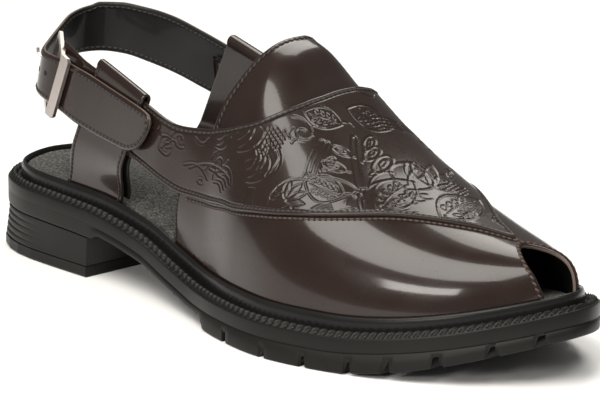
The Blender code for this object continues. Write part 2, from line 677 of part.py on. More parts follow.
def unit(vector):
    return vector / np.linalg.norm(vector)


def outward(first, second):
    """Direction square to two others, away from the foot."""
    normal = unit(np.cross(first, second))
    return -normal if normal[1] > 0 else normal


def build_buckle():
    half = HEEL_STRAP_THICKNESS / 2
    strap_near = OUT_SIDE + 1.1 * half
    strap_far = OUT_SIDE + half + STRAP_BULGE * HEEL_STRAP_THICKNESS
    near_out = strap_near + half + GAP + BUCKLE_THICKNESS / 2 + BUCKLE_TILT
    far_out = strap_far - half - GAP - BUCKLE_THICKNESS / 2 - FAR_TILT
    near = side_point(NEAR_ALONG * SHOE_LENGTH, NEAR_HEIGHT * INSTEP_HEIGHT, near_out)
    far = side_point(FAR_ALONG * SHOE_LENGTH, FAR_HEIGHT * INSTEP_HEIGHT, far_out)
    top = side_point((NEAR_ALONG + NEAR_SLANT) * SHOE_LENGTH, (NEAR_HEIGHT + 0.145) * INSTEP_HEIGHT, near_out)
    low = side_point((NEAR_ALONG - NEAR_SLANT) * SHOE_LENGTH, (NEAR_HEIGHT - 0.145) * INSTEP_HEIGHT, near_out)
    down = unit(low - top)
    ahead = side_point((NEAR_ALONG + 0.01) * SHOE_LENGTH, NEAR_HEIGHT * INSTEP_HEIGHT, near_out) - near
    ahead = unit(ahead - down * np.dot(ahead, down))
    bend = near - ahead * NEAR_BAR / 2
    across = bend - far
    across = unit(across - down * np.dot(across, down))
    plate_out, out = outward(ahead, down), outward(across, down)
    miter = unit(plate_out + out)
    miter = miter / np.dot(miter, out)
    far_edge = -np.dot(bend - far, across) - FAR_BAR / 2
    near_edge = NEAR_BAR
    long = BUCKLE_LENGTH / 2

    def place(a, b, c):
        if a > 0:
            return bend + ahead * a + down * b + plate_out * c
        return bend + across * a + down * b + (out if a < 0 else miter) * c

    corner, nick = BUCKLE_CORNER, BUCKLE_INNER_CORNER
    dips = [(0.0024, 0.0), (0.0014, BAR_DIP), (-0.0014, BAR_DIP), (-0.0024, 0.0)]
    outer = [(far_edge + corner, -long, 0), (0, -long, 0), (near_edge - corner, -long, 0),
             (near_edge, -long + corner, 0), (near_edge, long - corner, 0), (near_edge - corner, long, 0),
             (0, long, 0), (far_edge + corner, long, 0), (far_edge, long - corner, 0),
             *[(far_edge, b, dip) for b, dip in dips], (far_edge, -long + corner, 0)]
    in_far, in_long = far_edge + FAR_BAR, long - SHORT_BAR
    inner = [(in_far + nick, -in_long, 0), (0, -in_long, 0), (0, -in_long + corner, 0),
             (0, -in_long + 2 * corner, 0), (0, in_long - 2 * corner, 0), (0, in_long - corner, 0),
             (0, in_long, 0), (in_far + nick, in_long, 0), (in_far, in_long - nick, 0),
             *[(in_far, b, dip) for b, dip in dips], (in_far, -in_long + nick, 0)]
    thick = BUCKLE_THICKNESS / 2
    loops = []
    for ring, level in ((outer, thick), (outer, -thick), (inner, -thick), (inner, thick)):
        loops.append([place(a, b, level - dip) for a, b, dip in ring])
    frame = stack("buckle_frame", [np.array(line) for line in loops], "nickel", hollow=True,
                  rounded=False, metal=1.0, rough=0.3)

    fold = OVERLAY_LEATHER + FOLD_PLAY + HINGE_RADIUS
    hinge_out = OUT_SIDE - GAP - fold
    hinge_height = (FAR_HEIGHT * 0.42 + NEAR_HEIGHT * 0.58) * INSTEP_HEIGHT
    hinge = side_point(HINGE_ALONG * SHOE_LENGTH, hinge_height, hinge_out)
    local = hinge - bend
    a, c = float(np.dot(local, across)), float(np.dot(local, out))
    bar = tube("hinge_bar", [place(a, -in_long - SHORT_BAR * 0.6, c), place(a, 0, c),
                             place(a, in_long + SHORT_BAR * 0.6, c)], HINGE_RADIUS, 12, "nickel", metal=1.0)
    boolean(frame, helper(bar), "UNION")
    for sign, tag in ((-1, "lug_top"), (1, "lug_low")):
        points = []
        for da in (-0.0013, 0.0013):
            for db in (in_long + 0.0002, in_long + SHORT_BAR - 0.0002):
                for dc in (c - HINGE_RADIUS - 0.0003, -thick + 0.0005):
                    points.append(place(a + da, sign * db, dc))
        boolean(frame, cutter(tag, points, "nickel"), "UNION")

    # Prong, an eye round the hinge bar and a curled tip outside the strap
    eye = HINGE_RADIUS + PRONG_PLAY + PRONG_RADIUS
    line = []
    for k in range(9):
        angle = math.radians(-150 + 240 * k / 8)
        line.append(hinge + across * eye * math.cos(angle) + out * eye * math.sin(angle))
    strap_hole = side_point(0.114 * SHOE_LENGTH, 0.893 * INSTEP_HEIGHT, OUT_SIDE - PRONG_RADIUS - GAP)
    over = far + out * (thick + PRONG_RADIUS + GAP * 1.1 - BAR_DIP)
    line += [over + across * FAR_BAR, over - across * FAR_BAR, strap_hole]
    side_out = side_point(0.110 * SHOE_LENGTH, 0.893 * INSTEP_HEIGHT, OUT_SIDE + half)
    line.append(side_out)
    line.append(side_point(0.108 * SHOE_LENGTH, 0.898 * INSTEP_HEIGHT, OUT_SIDE + 2 * half + 0.0020))
    line.append(side_point(0.107 * SHOE_LENGTH, 0.912 * INSTEP_HEIGHT, OUT_SIDE + 2 * half + 0.0036))
    line.append(side_point(0.106 * SHOE_LENGTH, 0.934 * INSTEP_HEIGHT, OUT_SIDE + 2 * half + 0.0043))
    tube("buckle_prong", line, PRONG_RADIUS, 8, "nickel", metal=1.0, rough=0.3)
    return hinge, hinge_out, across, down, out, side_out


def build_straps():
    for name in SIDE_STRAPS:
        build_side_strap(name)
    near, far = heel_strap_grid(HEEL_STRAP, 2, 4)
    strap = slab("heel_strap", far, near, "leather", rough=0.35)
    hinge, hinge_out, across, down, out, hole = build_buckle()
    points = []
    for a in (-PRONG_HOLE_LENGTH / 2, PRONG_HOLE_LENGTH / 2):
        for b in (-PRONG_HOLE_HEIGHT / 2, PRONG_HOLE_HEIGHT / 2):
            for c in (-HEEL_STRAP_THICKNESS * 3, HEEL_STRAP_THICKNESS * 3):
                points.append(hole + across * a + down * b + out * c)
    boolean(strap, cutter("prong_hole", points))

    # Strip that carries the buckle, folded round its hinge bar
    half = OVERLAY_LEATHER / 2
    radius = HINGE_RADIUS + FOLD_PLAY + half
    flat = [(0.256, 0.797, GAP + half), (0.240, 0.802, GAP + half), (0.224, 0.807, GAP + 1.2 * half),
            (0.202, 0.815, GAP + 1.6 * half)]
    path = [side_point(along * SHOE_LENGTH, high * INSTEP_HEIGHT, out_by) for along, high, out_by in flat]
    for k in range(9):
        angle = math.radians(90 + 180 * k / 8)
        path.append(hinge + across * radius * math.cos(angle) + out * radius * math.sin(angle))
    inner = hinge_out - radius
    back = [(0.188, 0.822, inner), (0.204, 0.817, inner)]
    path += [side_point(along * SHOE_LENGTH, high * INSTEP_HEIGHT, out_by) for along, high, out_by in back]
    path = np.array(path)
    tangent = np.gradient(path, axis=0)
    tangent -= np.outer(tangent @ down, down)
    tangent /= np.linalg.norm(tangent, axis=1)[:, None]
    normal = np.cross(down, tangent)
    wide = np.array([-1.0, -0.5, -0.14, 0.14, 0.5, 1.0]) * 0.5 * (HINGE_SPAN - 0.0030)
    grids = []
    for sign in (1.0, -1.0):
        grid = np.array([path + normal * half * sign + down * w for w in wide])
        facing = 1.0 if np.dot(normal[0], out) > 0 else -1.0
        rows = [(k, row, 1.0) for k, row in enumerate(flat)]
        rows += [(len(path) - 2 + k, row, -1.0) for k, row in enumerate(back)]
        for k, (along, high, out_by), turned in rows:
            x, z = along * SHOE_LENGTH + down[0] * wide, high * INSTEP_HEIGHT + down[2] * wide
            shift = half * sign * facing * turned
            grid[:, k] = [side_point(x[j], z[j], out_by + shift) for j in range(len(wide))]
        grids.append(grid)
    slot = [(2, k) for k in range(3, len(path) - 2)]
    slab("buckle_tab", grids[0], grids[1], "leather", open_cells=slot, rough=0.4)


build_sole()
build_edges()
build_upper()
build_straps()
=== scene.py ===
import math

import bpy
import numpy as np
from mathutils import Matrix, Vector


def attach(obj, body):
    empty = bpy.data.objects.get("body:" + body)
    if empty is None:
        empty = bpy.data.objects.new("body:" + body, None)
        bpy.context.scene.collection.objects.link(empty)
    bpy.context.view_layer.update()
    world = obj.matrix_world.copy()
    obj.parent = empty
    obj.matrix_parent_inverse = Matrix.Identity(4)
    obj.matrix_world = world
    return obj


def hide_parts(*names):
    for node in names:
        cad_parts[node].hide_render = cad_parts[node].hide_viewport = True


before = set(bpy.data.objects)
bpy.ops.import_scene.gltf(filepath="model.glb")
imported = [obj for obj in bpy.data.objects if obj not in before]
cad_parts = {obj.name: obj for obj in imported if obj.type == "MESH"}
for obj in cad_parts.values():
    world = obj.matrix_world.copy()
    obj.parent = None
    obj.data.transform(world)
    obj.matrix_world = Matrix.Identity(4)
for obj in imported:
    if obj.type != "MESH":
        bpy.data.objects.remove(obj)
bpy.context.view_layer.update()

# Driving sizes in metres
SHOE_LENGTH = 0.292
BALL_WIDTH = 0.108
INSTEP_HEIGHT = 0.0895
HEEL_RISE = 0.0163
FOREFOOT_THICKNESS = 0.0108
TOE_SPRING = 0.0150
OUTSOLE_STRIP = 0.0087
SHANK_THICKNESS = 0.0064
LUG_DEPTH = 0.0040
TOE_THINNING = 0.0030
TOP_LIFT_THICKNESS = 0.0045
HEEL_FLARE = 0.0030
RAND_HEIGHT = 0.0087
RAND_THICKNESS = 0.0018
INSOLE_TOP = 0.0068
LEATHER = 0.0018
OVERLAY_LEATHER = 0.0012
STRAP_LEATHER = 0.0014
HEEL_STRAP_THICKNESS = 0.0018
TONGUE_THICKNESS = 0.0025
GAP = 0.0003
HEEL_RIBS = 5
HEEL_GROOVE = 0.0009
HEEL_INSET = 0.0004
LIFT_INSET = 0.0002
BREAST_SLANT = 0.0032
INSOLE_PLAY = 0.0002
INSOLE_TOE_PLAY = 0.0013
BACK_REACH = HEEL_FLARE * 0.6 - LIFT_INSET
CENTRE = np.array([(SHOE_LENGTH - BACK_REACH) * 0.5, 0.0, 0.0])

# Heel breast, start of the lugs and channels between them, as shares of SHOE_LENGTH
HEEL_BREAST = 0.262
LUG_START = 0.525
LUG_SPACING = [0.592, 0.668, 0.728, 0.786, 0.832, 0.885, 0.937, 0.976]
LUG_CHANNEL = 0.0024
LUG_WALL = 0.0001

# Points to each span of the outline
SPAN = 20

# Plan outline of the sole, heel to toe and back
# columns: along as a share of SHOE_LENGTH, across as a share of BALL_WIDTH, medial positive
OUTLINE = [
    (0.000, 0.000), (0.014, -0.150), (0.045, -0.262), (0.100, -0.328), (0.170, -0.347),
    (0.270, -0.345), (0.375, -0.350), (0.480, -0.400), (0.570, -0.470), (0.655, -0.500),
    (0.735, -0.462), (0.820, -0.375), (0.895, -0.262), (0.952, -0.130), (0.988, -0.005),
    (1.000, 0.100), (0.985, 0.210), (0.950, 0.315), (0.895, 0.405), (0.820, 0.472),
    (0.745, 0.500), (0.665, 0.482), (0.580, 0.420), (0.500, 0.355), (0.415, 0.312),
    (0.330, 0.306), (0.240, 0.320), (0.160, 0.330), (0.095, 0.306), (0.045, 0.246),
    (0.014, 0.140),
]
TOE_POINT = 15

# Height of the sole's upper face above its forefoot level
# columns: along as a share of SHOE_LENGTH, rise as a share of HEEL_RISE
SEAT_RISE = [
    (0.0, 1.0), (0.154, 0.975), (0.257, 0.90), (0.36, 0.595), (0.44, 0.22), (0.52, 0.0), (1.0, 0.0),
]

# Ridge of the upper over the foot
# columns: along as a share of SHOE_LENGTH, height as a share of INSTEP_HEIGHT
RIDGE = [
    (0.27, 1.34), (0.38, 1.28), (0.45, 1.23), (0.534, 1.14), (0.58, 1.02), (0.65, 0.842),
    (0.705, 0.724), (0.774, 0.619), (0.84, 0.550), (0.897, 0.508), (0.94, 0.482), (0.975, 0.465),
]
# columns: along as a share of SHOE_LENGTH, ridge offset to the medial side as a share of BALL_WIDTH
RIDGE_SIDE = [
    (0.30, 0.0), (0.45, 0.035), (0.50, 0.085), (0.56, 0.085), (0.65, 0.06), (0.774, 0.068),
    (0.90, 0.085), (0.975, 0.10),
]
UPPER_INSET = 0.0077
UPPER_ROUNDNESS = 2.44

# Plan path of the ankle straps, lateral front round the heel to medial front
# columns: along as a share of SHOE_LENGTH, across as a share of BALL_WIDTH
STRAP_PATH = [
    (0.514, -0.329), (0.445, -0.316), (0.384, -0.302), (0.291, -0.278), (0.200, -0.262),
    (0.152, -0.250), (0.126, -0.224), (0.110, -0.176), (0.095, -0.120), (0.079, -0.052), (0.070, 0.030),
    (0.080, 0.112), (0.118, 0.186), (0.188, 0.238), (0.291, 0.265), (0.384, 0.279), (0.445, 0.292),
    (0.514, 0.306),
]
STRAP_LEAN = 0.10
BACK_LEAN = 0.26
STRAP_LEVEL = 0.70
BACK_LEVEL = 0.80

# Bands of the upper, lateral half; the medial half mirrors the turn
# columns: inner edge along, inner edge turn, outer edge along, outer edge turn
PANEL_BAND = [
    (0.455, 0.150, 0.410, 0.0), (0.480, 0.168, 0.470, 0.0), (0.510, 0.190, 0.540, 0.0),
    (0.545, 0.215, 0.610, 0.0), (0.570, 0.255, 0.690, 0.0), (0.585, 0.300, 0.770, 0.0),
    (0.597, 0.345, 0.850, 0.0), (0.605, 0.385, 0.920, 0.0), (0.610, 0.420, 0.966, 0.0),
    (0.613, 0.445, 0.961, 0.107), (0.615, 0.465, 0.948, 0.269), (0.616, 0.482, 0.926, 0.400),
    (0.616, 0.500, 0.900, 0.500),
]
OVERLAY_BAND = [
    (0.270, 0.179, 0.270, 0.091), (0.330, 0.177, 0.330, 0.082), (0.371, 0.170, 0.386, 0.080),
    (0.418, 0.168, 0.435, 0.079), (0.470, 0.183, 0.487, 0.088), (0.498, 0.197, 0.557, 0.110),
    (0.530, 0.220, 0.624, 0.155), (0.556, 0.255, 0.681, 0.213), (0.573, 0.295, 0.730, 0.279),
    (0.586, 0.340, 0.770, 0.347), (0.596, 0.395, 0.815, 0.415), (0.600, 0.450, 0.853, 0.470),
    (0.600, 0.500, 0.888, 0.500),
]
# columns: turn, along of the rear edge
TONGUE_ARCH = [(0.150, 0.474), (0.191, 0.480), (0.235, 0.486), (0.290, 0.495), (0.348, 0.501),
               (0.402, 0.506), (0.500, 0.509)]
TONGUE_FRONT = 0.655

# Layers of the ankle straps, out from the strap wall
WING_OUT = GAP + OVERLAY_LEATHER
OUT_SIDE = WING_OUT + GAP + STRAP_LEATHER + GAP
OUT_BACK = WING_OUT + GAP
INNER_LEG_END = 0.16
# columns: side, rear and front along at the sole, rear and front along at the fold,
# rear and front height of the fold, as shares of SHOE_LENGTH and INSTEP_HEIGHT
SIDE_STRAPS = {
    "side_strap_lateral": (-1, 0.175, 0.288, 0.254, 0.362, 0.970, 0.872),
    "side_strap_medial": (1, 0.192, 0.305, 0.304, 0.410, 1.020, 0.905),
}
# columns: side, along as a share of SHOE_LENGTH, upper and lower edge as shares of INSTEP_HEIGHT,
# bulge of the strap off its layer as a share of its thickness
HEEL_STRAP = [
    (-1, 0.390, 0.795, 0.770, 0.0), (-1, 0.386, 0.810, 0.735, 0.0), (-1, 0.377, 0.822, 0.690, 0.0),
    (-1, 0.362, 0.834, 0.650, 0.0), (-1, 0.340, 0.848, 0.632, 0.0), (-1, 0.300, 0.872, 0.643, 0.0),
    (-1, 0.250, 0.905, 0.665, 0.0), (-1, 0.215, 0.925, 0.688, 0.05), (-1, 0.195, 0.936, 0.706, 0.05),
    (-1, 0.165, 0.947, 0.734, 0.30), (-1, 0.142, 0.951, 0.750, 0.45), (-1, 0.127, 0.958, 0.760, 0.50),
    (-1, 0.113, 0.980, 0.780, 0.45), (-1, 0.096, 1.025, 0.815, 0.15), (-1, 0.080, 1.065, 0.845, 0.0),
    (1, 0.073, 1.090, 0.862, 0.0), (1, 0.084, 1.104, 0.864, 0.0), (1, 0.110, 1.104, 0.854, 0.0),
    (1, 0.145, 1.088, 0.826, 0.0), (1, 0.190, 1.062, 0.790, 0.0), (1, 0.240, 1.018, 0.744, 0.0),
    (1, 0.290, 0.970, 0.705, 0.0), (1, 0.340, 0.915, 0.672, 0.0), (1, 0.370, 0.885, 0.655, 0.0),
]


def smooth(value):
    value = np.clip(value, 0.0, 1.0)
    return value * value * (3.0 - 2.0 * value)


def curve(table, value):
    """Smooth line through a table of two columns, without overshoot."""
    data = np.array(table, float)
    xs, ys = data[:, 0], data[:, 1]
    step = np.diff(xs)
    slope = np.diff(ys) / step
    tangent = np.zeros(len(xs))
    tangent[0], tangent[-1] = slope[0], slope[-1]
    for k in range(1, len(xs) - 1):
        if slope[k - 1] * slope[k] > 0:
            tangent[k] = 2.0 * slope[k - 1] * slope[k] / (slope[k - 1] + slope[k])
    value = np.clip(np.asarray(value, float), xs[0], xs[-1])
    k = np.clip(np.searchsorted(xs, value, side="right") - 1, 0, len(xs) - 2)
    h = step[k]
    t = (value - xs[k]) / h
    a = (1 + 2 * t) * (1 - t) ** 2
    b = t * (1 - t) ** 2
    c = t * t * (3 - 2 * t)
    d = t * t * (t - 1)
    return a * ys[k] + b * h * tangent[k] + c * ys[k + 1] + d * h * tangent[k + 1]


def spline(points, per_span, closed):
    """Points along a rounded line through the given points."""
    pts = np.array(points, float)
    count = len(pts)
    if closed:
        spans = range(count)
        get = lambda k: pts[k % count]
    else:
        spans = range(count - 1)
        ends = np.vstack([2 * pts[0] - pts[1], pts, 2 * pts[-1] - pts[-2]])
        get = lambda k: ends[k + 1]
    line = []
    for k in spans:
        p0, p1, p2, p3 = get(k - 1), get(k), get(k + 1), get(k + 2)
        for j in range(per_span):
            t = j / per_span
            line.append(0.5 * (2 * p1 + (p2 - p0) * t + (2 * p0 - 5 * p1 + 4 * p2 - p3) * t ** 2
                               + (3 * p1 - p0 - 3 * p2 + p3) * t ** 3))
    if not closed:
        line.append(pts[-1])
    return np.array(line)


def seat(x):
    """Height of the sole's upper face at a distance from the heel."""
    share = np.clip(np.asarray(x, float) / SHOE_LENGTH, 0.0, 1.0)
    lift = TOE_SPRING * np.clip((share - 0.75) / 0.25, 0.0, 1.0) ** 1.7
    return FOREFOOT_THICKNESS + HEEL_RISE * curve(SEAT_RISE, share) + lift


EDGE = spline([(a * SHOE_LENGTH, b * BALL_WIDTH) for a, b in OUTLINE], SPAN, True)
EDGE_TANGENT = np.roll(EDGE, -1, 0) - np.roll(EDGE, 1, 0)
EDGE_TANGENT /= np.linalg.norm(EDGE_TANGENT, axis=1)[:, None]
EDGE_INWARD = np.stack([-EDGE_TANGENT[:, 1], EDGE_TANGENT[:, 0]], -1)


def sides(inset):
    """Lateral and medial edge lines, both from heel to toe, moved inward."""
    moved = EDGE + EDGE_INWARD * inset
    toe = TOE_POINT * SPAN
    return moved[: toe + 1], np.vstack([moved[:1], moved[toe:][::-1]])


def side_at(x, inset, side):
    """Across position of the inset edge line at x, side -1 lateral or 1 medial."""
    line = sides(inset)[0 if side < 0 else 1]
    order = np.argsort(line[:, 0])
    return np.interp(x, line[order, 0], line[order, 1])


PATH = spline([(a * SHOE_LENGTH, b * BALL_WIDTH) for a, b in STRAP_PATH], 12, False)
PATH_TANGENT = np.gradient(PATH, axis=0)
PATH_TANGENT /= np.linalg.norm(PATH_TANGENT, axis=1)[:, None]
PATH_OUT = np.stack([-PATH_TANGENT[:, 1], PATH_TANGENT[:, 0]], -1)
PATH_REACH = np.concatenate([[0.0], np.cumsum(np.linalg.norm(np.diff(PATH, axis=0), axis=1))])
PATH_BACK = int(np.argmin(PATH[:, 0]))


def strap_level(x, z):
    """Inward lean of the strap wall at a height, stronger round the heel."""
    back = 1.0 - smooth((np.asarray(x, float) / SHOE_LENGTH - 0.06) / 0.12)
    lean = STRAP_LEAN + (BACK_LEAN - STRAP_LEAN) * back
    level = STRAP_LEVEL + (BACK_LEVEL - STRAP_LEVEL) * back
    return lean * (np.asarray(z, float) - level * INSTEP_HEIGHT)


def wall_y(x, z, side):
    """Across position of the strap wall beside the ankle."""
    line = PATH[: PATH_BACK + 1][::-1] if side < 0 else PATH[PATH_BACK:]
    base = np.abs(np.interp(x, line[:, 0], line[:, 1]))
    return side * (base - strap_level(x, z))


def wall_at(reach, z, out):
    """Point of the strap wall at a distance along its path."""
    reach, z, out = np.broadcast_arrays(np.asarray(reach, float), z, out)
    xy = [np.interp(reach, PATH_REACH, PATH[:, k]) for k in range(2)]
    normal = [np.interp(reach, PATH_REACH, PATH_OUT[:, k]) for k in range(2)]
    shift = out - strap_level(xy[0], z)
    return np.stack([xy[0] + normal[0] * shift, xy[1] + normal[1] * shift, z], -1)


def section(x, turn):
    """Point of the upper's outer face: x from the heel, turn 0 lateral sole to 1 medial sole."""
    x, turn = np.broadcast_arrays(np.asarray(x, float), np.asarray(turn, float))
    share = x / SHOE_LENGTH
    low = seat(x) + GAP
    high = INSTEP_HEIGHT * curve(RIDGE, share)
    lateral = side_at(x, UPPER_INSET, -1)
    medial = side_at(x, UPPER_INSET, 1)
    middle = np.clip(BALL_WIDTH * curve(RIDGE_SIDE, share), lateral * 0.5 + medial * 0.5 - 0.02,
                     lateral * 0.1 + medial * 0.9)
    angle = np.clip(turn, 0.0, 1.0) * math.pi
    power = 2.0 / UPPER_ROUNDNESS
    cosine = np.abs(np.cos(angle)) ** power
    z = low + (high - low) * np.abs(np.sin(angle)) ** power
    y = np.where(turn < 0.5, middle - (middle - lateral) * cosine, middle + (medial - middle) * cosine)
    near = 1.0 - smooth((x - 0.39 * SHOE_LENGTH) / (0.12 * SHOE_LENGTH))
    up = smooth((z - seat(x) - 0.010) / 0.022)
    side = np.where(turn < 0.5, -1.0, 1.0)
    strap = np.where(side < 0, wall_y(x, z, -1), wall_y(x, z, 1))
    below = 1.0 - smooth((z - 0.95 * INSTEP_HEIGHT) / 0.012)
    y = y + near * up * below * (strap - y)
    return np.stack([x, y, z], -1)


def skin(x, turn, out=0.0):
    """Point of the upper's face moved along its normal."""
    x, turn = np.broadcast_arrays(np.asarray(x, float), np.asarray(turn, float))
    toe = 0.972 * SHOE_LENGTH
    dx, dt = 0.0008, 0.004
    x0, x1 = np.minimum(x, toe) - dx, np.minimum(x, toe) + dx
    t0, t1 = np.clip(turn - dt, 0.012, 1.0), np.clip(turn + dt, 0.0, 0.988)
    along = section(x1, turn) - section(x0, turn)
    around = section(x, t1) - section(x, t0)
    normal = np.cross(around, along)
    normal /= np.linalg.norm(normal, axis=-1)[..., None] + 1e-12
    centre = section(x, 0.5)
    centre[..., 2] *= 0.5
    point = section(x, turn)
    facing = np.sum(normal * (point - centre), axis=-1)
    normal = np.where(facing[..., None] < 0, -normal, normal)
    return point + normal * np.asarray(out, float)[..., None]


def bottom(x):
    """Height of the outsole's underside."""
    share = np.asarray(x, float) / SHOE_LENGTH
    strip = OUTSOLE_STRIP + (SHANK_THICKNESS - OUTSOLE_STRIP) * smooth((share - HEEL_BREAST - 0.004) / 0.012)
    tread = smooth((share - LUG_START) / 0.012)
    toe = TOE_THINNING * smooth((share - 0.78) / 0.24)
    return seat(x) - strip - (FOREFOOT_THICKNESS - SHANK_THICKNESS) * tread + toe


def strap_shift(x, z, side, outermost):
    """Inward move that brings a strap's outer face to the sole's inner edge at its foot."""
    rise = smooth((z - seat(x) - RAND_HEIGHT) / 0.020)
    foot = np.abs(side_at(x, UPPER_INSET, side)) - (np.abs(wall_y(x, z, side)) + outermost)
    return foot * (1.0 - rise)


def path_reach(along, side):
    """Distance along the strap path of a share of the length on one side."""
    x = along * SHOE_LENGTH
    if side < 0:
        return float(np.interp(x, PATH[: PATH_BACK + 1, 0][::-1], PATH_REACH[: PATH_BACK + 1][::-1]))
    return float(np.interp(x, PATH[PATH_BACK:, 0], PATH_REACH[PATH_BACK:]))


def refined(rows, per_row):
    """Four smoothed columns of a table, with more rows between each two."""
    order = np.arange(len(rows))
    index = np.linspace(0, len(rows) - 1, (len(rows) - 1) * per_row + 1)
    return [curve(np.column_stack([order, rows[:, k]]), index) for k in range(4)]


def heel_strap_grid(table, per_row, across):
    """Inner and outer face of the heel strap, from its tip round the heel."""
    rows = np.array([(path_reach(along, side), *edges) for side, along, *edges in table])
    reach, upper, lower, bulge = refined(rows, per_row)
    lateral = 1.0 - smooth((reach - path_reach(0.16, -1)) / (path_reach(0.05, -1) - path_reach(0.16, -1)))
    base = OUT_BACK + (OUT_SIDE - OUT_BACK) * lateral
    share = np.linspace(0.0, 1.0, across + 1)[:, None]
    z = (upper * (1 - share) + lower * share) * INSTEP_HEIGHT
    inner = base + bulge * HEEL_STRAP_THICKNESS
    reach = np.broadcast_to(reach, z.shape)
    return wall_at(reach, z, inner), wall_at(reach, z, inner + HEEL_STRAP_THICKNESS)


def bunched(count):
    """Shares from 0 to 1, bunched at both ends."""
    return 0.5 - 0.5 * np.cos(np.linspace(0.0, math.pi, count))


def eased(count):
    """Shares from 0 to 1, a little closer together near both ends."""
    return 0.45 * np.linspace(0.0, 1.0, count) + 0.55 * bunched(count)


# Stations along the sole, with two at each wall of a channel
LUG_STEPS = [side * (LUG_CHANNEL / 2 + extra) for side in (-1, 1) for extra in (0.0, LUG_WALL)]
LUG_EDGES = np.array([share * SHOE_LENGTH + step for share in LUG_SPACING for step in LUG_STEPS])
STATION_X = np.unique(np.concatenate([bunched(181) * SHOE_LENGTH, LUG_EDGES]))


def make(name, points, quads, slots, index=None):
    """Mesh object in the frame, from points measured from the heel."""
    mesh = bpy.data.meshes.new(name)
    points = (np.asarray(points, float).reshape(-1, 3) - CENTRE).astype(np.float32)
    quads = np.asarray(quads, np.int32)
    mesh.vertices.add(len(points))
    mesh.vertices.foreach_set("co", points.ravel())
    mesh.loops.add(quads.size)
    mesh.loops.foreach_set("vertex_index", quads.ravel())
    mesh.polygons.add(len(quads))
    mesh.polygons.foreach_set("loop_start", np.arange(0, quads.size, quads.shape[1], dtype=np.int32))
    for slot in slots:
        mesh.materials.append(slot)
    if index is not None:
        mesh.polygons.foreach_set("material_index", np.asarray(index, np.int32))
    mesh.update(calc_edges=True)
    mesh.validate()
    mesh.polygons.foreach_set("use_smooth", np.ones(len(mesh.polygons), bool))
    piece = bpy.data.objects.new(name, mesh)
    bpy.context.scene.collection.objects.link(piece)
    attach(piece, "root")
    return piece


def grid_quads(rows, cols, start=0, around=False):
    """Quads of a grid of points, closed round its columns where asked."""
    i, j = np.meshgrid(np.arange(rows - 1), np.arange(cols if around else cols - 1), indexing="ij")
    n = (j + 1) % cols
    quad = np.stack([i * cols + j, i * cols + n, (i + 1) * cols + n, (i + 1) * cols + j], -1)
    return quad.reshape(-1, 4) + start


def lengths(grid, axis):
    """Distance along a grid from its first row or column."""
    step = np.linalg.norm(np.diff(grid, axis=axis), axis=-1)
    pad = [(0, 0), (0, 0)]
    pad[axis] = (1, 0)
    return np.pad(np.cumsum(step, axis=axis), pad)


def edge_distance(grid):
    """Distance of each grid point to the nearest border of the sheet."""
    across, along = lengths(grid, 0), lengths(grid, 1)
    return np.minimum(np.minimum(across, across[-1:] - across), np.minimum(along, along[:, -1:] - along))


def rounded(distance, radius):
    """Drop of a rounded border at a distance from it."""
    near = np.clip(radius - distance, 0.0, radius)
    return radius - np.sqrt(np.maximum(radius ** 2 - near ** 2, 0.0))


def two_faced(name, outer, inner, slots):
    """Sheet with an outer face, a lining face and a cut edge."""
    rows, cols = outer.shape[:2]
    count = rows * cols
    top = grid_quads(rows, cols)
    low = grid_quads(rows, cols, count)[:, ::-1]
    ends = [np.arange(cols), (rows - 1) * cols + np.arange(cols - 2, -1, -1)]
    flanks = [np.arange(1, rows) * cols + cols - 1, np.arange(rows - 2, 0, -1) * cols]
    ring = np.concatenate([ends[0], flanks[0], ends[1], flanks[1]])
    nxt = np.roll(ring, -1)
    rim = np.stack([nxt, ring, ring + count, nxt + count], -1)
    index = np.concatenate([np.zeros(len(top)), np.ones(len(low)), np.full(len(rim), 2)])
    points = np.vstack([outer.reshape(-1, 3), inner.reshape(-1, 3)])
    return make(name, points, np.vstack([top, low, rim]), slots, index)


def fine_band(table, per_row, across, half=None):
    """Along in metres and turn over a band; half 0 is the lateral side, 1 the medial, none is both."""
    inner_along, inner_turn, outer_along, outer_turn = refined(np.array(table, float), per_row)
    share = eased(across + 1)[:, None]
    along = (inner_along * (1 - share) + outer_along * share) * SHOE_LENGTH
    turn = inner_turn * (1 - share) + outer_turn * share
    if half == 1:
        return along[:, ::-1], 1.0 - turn[:, ::-1]
    if half == 0:
        return along, turn
    return np.hstack([along, along[:, -2::-1]]), np.hstack([turn, 1.0 - turn[:, -2::-1]])


